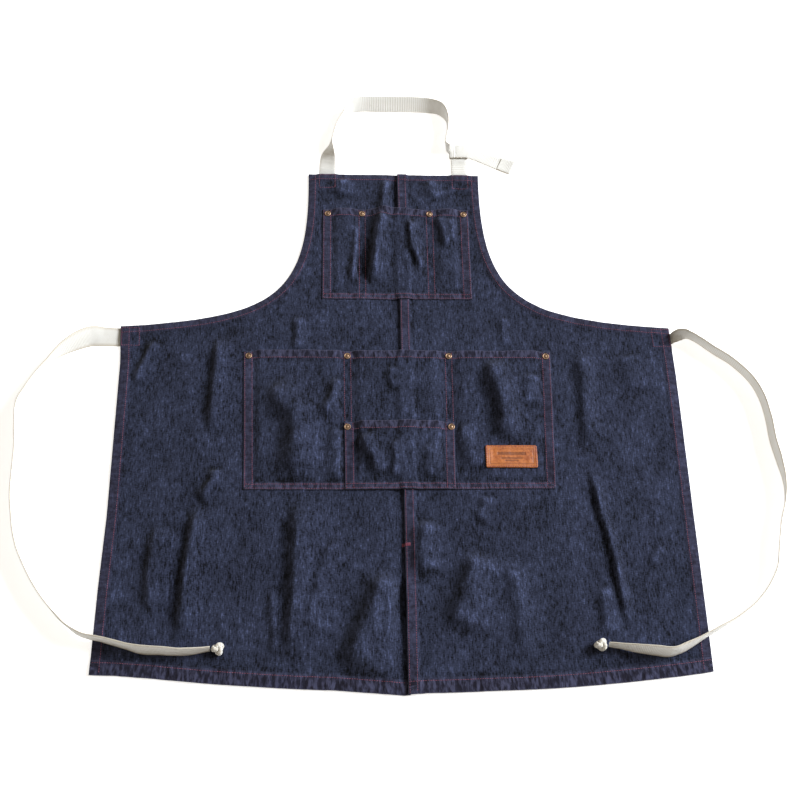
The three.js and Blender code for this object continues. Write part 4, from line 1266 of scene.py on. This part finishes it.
# %% [markdown]
# ## The vent's bartack
# Where the seam ends and the vent begins, a short bar of threads is laid side by side across the step.
# Each thread here is a few of the model stitch, drawn out long and laid end to end.
# %% Bartack
bar_height = top_of(halves)
BAR_ROWS, BAR_ROW_STEP, BAR_HALF = 7, 0.62, 4.3
points, faces = [], []
for i in range(BAR_ROWS):
    y = VENT_TOP + 2.3 - i * BAR_ROW_STEP
    for x in np.linspace(SEAM_X - BAR_HALF, SEAM_X + BAR_HALF, 5):
        middle = np.array([x, y, bar_height(x, y)[0] + 0.1])
        ahead = np.array([x + 1, y, bar_height(x + 1, y)[0] + 0.1]) - middle
        ahead /= np.linalg.norm(ahead)
        across = np.array([0, 1.0, 0])
        out = np.cross(ahead, across)
        local = STITCH_POINTS * [3.8, 0.95, 0.95]
        faces += [tuple(len(points) * len(STITCH_POINTS) + j for j in f) for f in STITCH_FACES]
        points.append(middle + local[:, :1] * ahead + local[:, 1:2] * across + local[:, 2:] * out)
bar_mesh = bpy.data.meshes.new("vent_bar")
bar_mesh.from_pydata((np.vstack(points) * MM).tolist(), [], faces)
bar_mesh.shade_smooth()
bar_mesh.materials.append(thread)
vent_bar = bpy.data.objects.new("vent_bar", bar_mesh)
bpy.context.scene.collection.objects.link(vent_bar)
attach(vent_bar, "apron")
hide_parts("vent_bartack")
print("bartack of", len(points), "stitches in", BAR_ROWS, "threads")

# %% [markdown]
# ## Rivets
# Each pocket is held at its dividers and corners by copper rivets. The cap is a stamped dome with a
# raised ring and a small centre. It is turned here as on a lathe: a circle is extruded and scaled
# ring by ring along its section, and its last ring is merged into a pole.
# %% Rivet caps
BRIGHT_COPPER, AGED_COPPER = (0.40, 0.27, 0.18, 1), (0.20, 0.13, 0.09, 1)
GROOVE_COPPER = (0.09, 0.045, 0.03, 1)


def copper_material():
    material, tree, shader = new_material("antique_copper", 0.5)
    shader.inputs["Metallic"].default_value = 1.0
    place = node(tree, "ShaderNodeTexCoord").outputs["Object"]
    patina = stretched_noise(tree, place, (0.004, 0.004, 0.004), 4)
    scratch = stretched_noise(tree, place, (0.0006, 0.003, 0.001), 2)
    groove = attribute(tree, "groove")
    colour = blended(tree, between(tree, patina, 0.35, 0.7), BRIGHT_COPPER, AGED_COPPER)
    colour = blended(tree, scaled(tree, groove, 0.8), colour, GROOVE_COPPER)
    tree.links.new(colour, shader.inputs["Base Color"])
    tree.links.new(between(tree, patina, 0.3, 0.8, 0.52, 0.72), shader.inputs["Roughness"])
    bump(tree, shader, maths(tree, "ADD", scratch, patina), 0.00012, 0.5)
    return material


copper = copper_material()
# radius and height of each ring of the cap, from underneath outwards and in again to the middle
CAP_SECTION = [
    (2.2, -1.6), (4.6, -0.5), (5.0, 0.15), (5.0, 0.55), (4.7, 1.0), (4.2, 1.25), (3.7, 1.25),
    (3.3, 1.0), (3.0, 0.72), (2.7, 0.72), (2.35, 1.05), (1.8, 1.5), (1.2, 1.75), (0.6, 1.85),
]


def rivet_cap(name, x, y, z, tilt):
    """A cap at a point in mm, with its axis along tilt."""
    bpy.ops.object.select_all(action="DESELECT")
    radius, height = CAP_SECTION[0]
    bpy.ops.mesh.primitive_circle_add(vertices=32, radius=radius * MM, fill_type="NGON",
                                      location=(0, 0, height * MM))
    cap = bpy.context.object
    cap.name = cap.data.name = name
    bpy.ops.object.transform_apply(location=True, rotation=False, scale=False)
    bpy.ops.object.mode_set(mode="EDIT")
    bpy.ops.mesh.select_all(action="SELECT")
    for wider, higher in CAP_SECTION[1:]:
        share = wider / radius
        bpy.ops.mesh.extrude_region_move(TRANSFORM_OT_translate={"value": (0, 0, (higher - height) * MM)})
        bpy.ops.transform.resize(value=(share, share, 1))
        radius, height = wider, higher
    bpy.ops.mesh.extrude_region_move(TRANSFORM_OT_translate={"value": (0, 0, 0.02 * MM)})
    bpy.ops.mesh.merge(type="CENTER")
    bpy.ops.mesh.select_all(action="SELECT")
    bpy.ops.mesh.normals_make_consistent(inside=False)
    bpy.ops.object.mode_set(mode="OBJECT")
    bpy.ops.object.shade_smooth_by_angle(angle=math.radians(42))
    points = coordinates(cap.data)
    reach = np.hypot(points[:, 0], points[:, 1]) / MM
    store(cap.data, "groove", np.clip(1 - np.abs(reach - 2.85) / 0.6, 0, 1) + (reach > 4.9) * 0.5)
    turn = Vector((0, 0, 1)).rotation_difference(Vector(tilt)).to_matrix()
    set_coordinates(cap.data, points @ np.array(turn).T + np.array([x, y, z]) * MM)
    cap.data.materials.append(copper)
    return cap


pocket_top = top_of([bib_cloth, waist_cloth, small_cloth])
for number, (x, y) in enumerate(RIVETS, 1):
    around = []
    for a in np.linspace(0, math.tau, 9)[:-1]:
        around.append(pocket_top(x + 4 * math.cos(a), y + 4 * math.sin(a))[0])
    tilt = (0.02 * math.sin(3 * number), 0.02, 1)
    cap = rivet_cap(f"rivet_{number}", x, y, float(np.mean(around)), tilt)
    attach(cap, "apron")
    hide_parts(f"rivet_cap_{number}")
print(len(RIVETS), "rivets")

# %% [markdown]
# ## Burrs
# Behind each cap its shank is hammered over a small ring, the burr. The frame's burrs have the right
# shape already, so they stay as they are and only get the copper.
# %% Burrs on the back
burrs = [obj for obj in bpy.context.scene.objects if "rivet_burr" in obj.name]
for burr in burrs:
    burr.data.materials.clear()
    burr.data.materials.append(copper)
    for slot in burr.material_slots:
        slot.material = copper
print(len(burrs), "burrs finished")

# %% [markdown]
# ## Leather label
# The label is a strip of vegetable-tanned leather with rounded corners, stitched to the waist
# pocket. Its tooling is pressed into the grid itself: a plain groove and a row of punched dots run
# round it, with plain bars across the middle. Pressed leather goes darker, so the same depth is
# stored as an attribute and read by the material.
# %% Label
(label_x0, label_y0, _), (label_x1, label_y1, _) = box_mm("leather_label")
LABEL = dict(x0=label_x0, x1=label_x1, y0=label_y0, y1=label_y1, corner=3.0, thickness=1.7)
DEEP_TAN, PALE_TAN, PRESSED_TAN = (0.24, 0.050, 0.010, 1), (0.47, 0.145, 0.030, 1), (0.07, 0.018, 0.008, 1)
GROOVE_INSET, DOT_INSET, DOT_STEP = 6.0, 3.2, 2.4
# height of each bar's middle, half its length, half its width
BARS = [(4.0, 21, 2.0), (-3.2, 16, 0.9), (-6.6, 10, 0.6)]
TOOLING_DEPTH = 0.45


def leather_material():
    material, tree, shader = new_material("tan_leather", 0.55)
    place = node(tree, "ShaderNodeTexCoord").outputs["Object"]
    tooled = attribute(tree, "tooled")
    cloud = stretched_noise(tree, place, (0.018, 0.018, 0.018), 4)
    mottle = stretched_noise(tree, place, (0.003, 0.003, 0.003), 4)
    pores = node(tree, "ShaderNodeTexVoronoi", {"Vector": place, "Scale": 1300.0}).outputs["Distance"]
    tone = maths(tree, "ADD", scaled(tree, cloud, 0.6), scaled(tree, mottle, 0.4))
    colour = blended(tree, between(tree, tone, 0.35, 0.65), DEEP_TAN, PALE_TAN)
    colour = blended(tree, scaled(tree, tooled, 0.75), colour, PRESSED_TAN)
    tree.links.new(colour, shader.inputs["Base Color"])
    tree.links.new(between(tree, mottle, 0.3, 0.7, 0.45, 0.65), shader.inputs["Roughness"])
    bump(tree, shader, maths(tree, "ADD", pores, scaled(tree, mottle, 0.6)), 0.00025, 0.5)
    return material


leather = leather_material()
label_width, label_height = LABEL["x1"] - LABEL["x0"], LABEL["y1"] - LABEL["y0"]
label, u, v = unit_grid("label", 100, 46)
px, py = (u - 0.5) * label_width, (v - 0.5) * label_height
# round the corners by drawing the outer points in
corner = LABEL["corner"]
dx, dy = np.abs(px) - (label_width / 2 - corner), np.abs(py) - (label_height / 2 - corner)
out = np.maximum(np.hypot(np.maximum(dx, 0), np.maximum(dy, 0)), 1e-9)
big = np.maximum(np.maximum(dx, dy), 0)
pull = np.where((dx > 0) & (dy > 0), big / out, 1.0)
px = np.sign(px) * np.where(dx > 0, label_width / 2 - corner + dx * pull, np.abs(px))
py = np.sign(py) * np.where(dy > 0, label_height / 2 - corner + dy * pull, np.abs(py))
inset = np.minimum(label_width / 2 - np.abs(px), label_height / 2 - np.abs(py))
run = np.where(label_width / 2 - np.abs(px) < label_height / 2 - np.abs(py), py, px)
groove = np.exp(-(((inset - GROOVE_INSET) / 0.55) ** 2)) * (inset < GROOVE_INSET + 2)
along_row = (run + 25 * DOT_STEP) % DOT_STEP - DOT_STEP / 2
dots = np.exp(-(((inset - DOT_INSET) / 0.62) ** 2)) * np.exp(-((along_row / 0.62) ** 2))
bars = np.zeros_like(px)
for bar_y, reach, half in BARS:
    bar = smoothstep(0.5, 0, np.abs(py - bar_y) - half) * smoothstep(0, 0.8, px + reach)
    bars = np.maximum(bars, bar * smoothstep(0, 0.8, reach - px))
tooling = np.clip(np.maximum.reduce([groove * 0.8, dots, bars * 0.8]), 0, 1)
x, y = px + (LABEL["x0"] + LABEL["x1"]) / 2, py + (LABEL["y0"] + LABEL["y1"]) / 2
# leather is stiff, so it lies on the highest cloth near each point
nearby = ((0, 0), (4, 0), (-4, 0), (0, 4), (0, -4))
under = np.max([waist_pocket_front(x + dx, y + dy) for dx, dy in nearby], axis=0)
front = under + LABEL["thickness"] - TOOLING_DEPTH * tooling - 0.5 * smoothstep(1.2, 0, inset)
set_coordinates(label.data, np.c_[x, y, front] * MM)
store(label.data, "tooled", np.maximum(tooling, 0.6 * smoothstep(0.8, 0, inset)))
thicken(label, LABEL["thickness"] - 0.2)
label.data.materials.append(leather)
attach(label, "apron")
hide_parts("leather_label")
label_rows = box_rows(LABEL["x0"] + 1.5, LABEL["x1"] - 1.5, LABEL["y0"] + 1.5, LABEL["y1"] - 1.5)
sew("label_stitching", label_rows, [label], seed=8)
print("label", round(label_width), "x", round(label_height), "mm")

# %% [markdown]
# ## Neck strap
# The neck strap is sewn under the bib's left corner, turns on to its edge in a wide loop, comes down
# on the other side and doubles round a short tab, and its running end lies down on the bib.
# %% Strap and tab
TAB_X = middle_of("neck_tab_sewn_end")[0]
STRAP = 25.0
neck_route = [
    ((-TAB_X, 248, 0.75), EAST), ((-TAB_X, 262, 0.75), EAST), ((-TAB_X, 276.6, 0.75), EAST),
    ((-106, 281, 0.85), EAST), ((-106, 288, 1.35), EAST), ((-105, 308, 5.5), (0.9, 0, 0.36)),
    ((-101, 332, 11.5), (0.25, 0, 1)), ((-92, 360, 12.5), UP), ((-81, 383, 12.5), UP),
    ((-70, 403, 11.5), (-0.2, 0.25, 0.9)), ((-52, 410, 10), (0, 0.62, 0.75)),
    ((-16, 411, 9.5), (0, 0.75, 0.66)),
    ((24, 411, 9.5), (0, 0.75, 0.66)), ((58, 409, 10), (0.1, 0.6, 0.75)),
    ((78, 402, 11.5), (0.25, 0.25, 0.9)),
    ((88.95, 384, 12.5), UP), ((89.45, 360, 12.5), UP), ((86.95, 338, 12.5), (-0.15, 0, 1)),
    ((85.45, 327, 12.5), (-0.15, 0, 1)), ((90.65, 321, 12.5), UP),
]
TAB_HEIGHTS = [(248, 0.75), (262, 0.75), (276.6, 0.75), (281, 0.8), (299, 1.25), (307, 2.55), (321, 2.55),
               (332, 2.55)]
tab_route = [((TAB_X, y, z), EAST) for y, z in TAB_HEIGHTS]
neck_strap = strap("neck_webbing", neck_route, STRAP, step=0.9, wave=0.15, seed=3)
neck_tab = strap("neck_tab_webbing", tab_route, STRAP, step=0.8)
for piece, part in ((neck_strap, "neck_strap"), (neck_tab, "neck_tab")):
    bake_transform(piece)
    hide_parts(f"{part}_sewn_end", part)
print("neck strap", round(route_length(neck_route), 3), "m")

# %% [markdown]
# ## Wrap and running end
# Past the tab the strap goes round it in a flattened ring, and its free end comes out below, doubled
# over at its tip. Both move with the loop as stiff pieces.
# %% Wrap and running end
def ring_stops(middle_y, centre_x, centre_z, half_x, half_z, count=28):
    """A flattened loop of webbing round the tab; its breadth runs along y."""
    stops = []
    for i in range(count + 1):
        a = math.tau * i / count
        c, s = math.cos(a), math.sin(a)
        x = centre_x + half_x * math.copysign(abs(c) ** 0.55, c)
        z = centre_z + half_z * math.copysign(abs(s) ** 0.75, s)
        stops.append(((x, middle_y, z), NORTH))
    return stops


wrap = strap("neck_wrap", ring_stops(321, TAB_X - 0.5, 3.45, 14.2, 2.75), STRAP, step=1.2)
running_route = [
    ((96, 321, 5.3), NORTH, 24), ((104, 321, 6.6), NORTH, 24), ((114.3, 321, 6.4), NORTH, 24),
    ((122.3, 320, 5.4), (0.1, 1, -0.04)), ((135.3, 316, 4.2), (0.28, 0.96, -0.06)),
    ((148, 310.5, 3.2), (0.36, 0.93, -0.08)), ((160.3, 305, 2.6), (0.38, 0.92, -0.06)),
    ((178.3, 297, 2.0), (0.36, 0.93, 0)), ((191.3, 291.5, 3.0), (0.3, 0.95, 0.08)),
]
running_end = strap("neck_running_end", running_route, STRAP, step=0.9, wave=0.2, seed=12)
turned_route = [((172, 300, 4.0), (0.37, 0.93, 0)), ((180, 296.3, 3.7), (0.36, 0.93, 0.02)),
                ((191.3, 291.5, 4.6), (0.3, 0.95, 0.08))]
turned_end = strap("neck_turned_end", turned_route, 24.4, step=0.9)
for piece in (wrap, running_end, turned_end):
    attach(piece, "neck_loop")
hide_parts("neck_strap_wrap")
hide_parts("neck_strap_running_end")
print("running end", round(route_length(running_route), 3), "m")

# %% [markdown]
# ## Floor and light
# The table is a plain pale surface that glows a little, a painted glow that keeps shadows on it pale.
# One large lamp stands high on the right, so folds and seams show by their shading, and a dim warm
# surround fills the shadows.
# %% Floor, lamp and surround
def floor_material():
    # painted glow: the emission lifts the shadows that fall on the table
    material, tree, shader = new_material("pale_table", 0.8, Emission_Strength=0.66)
    shader.inputs["Emission Color"].default_value = (1, 1, 1, 1)
    place = node(tree, "ShaderNodeTexCoord").outputs["Object"]
    cloud = stretched_noise(tree, place, (0.3, 0.3, 0.3), 2)
    colour = blended(tree, cloud, (0.88, 0.88, 0.89, 1), (0.92, 0.92, 0.92, 1))
    tree.links.new(colour, shader.inputs["Base Color"])
    return material


bpy.ops.object.select_all(action="DESELECT")
bpy.ops.mesh.primitive_plane_add(size=12, location=(0, 0, -0.0001))
table = bpy.context.object
table.name = "table"
table.data.materials.append(floor_material())

bpy.ops.object.select_all(action="DESELECT")
bpy.ops.object.light_add(type="AREA", location=(4.9, 1.5, 3.7))
lamp = bpy.context.object
lamp.data.energy = 690
lamp.data.size = 2.6
lamp.data.color = (0.93, 0.97, 1.0)
lamp.rotation_euler = (Vector((0, 0, 0)) - lamp.location).to_track_quat("-Z", "Y").to_euler()
surround = bpy.context.scene.world or bpy.data.worlds.new("surround")
bpy.context.scene.world = surround
surround.use_nodes = True
surround.node_tree.nodes["Background"].inputs["Color"].default_value = (1.0, 0.88, 0.70, 1)
surround.node_tree.nodes["Background"].inputs["Strength"].default_value = 0.37
bpy.context.scene.view_settings.view_transform = "Standard"
print("lamp at", [round(v, 1) for v in lamp.location])
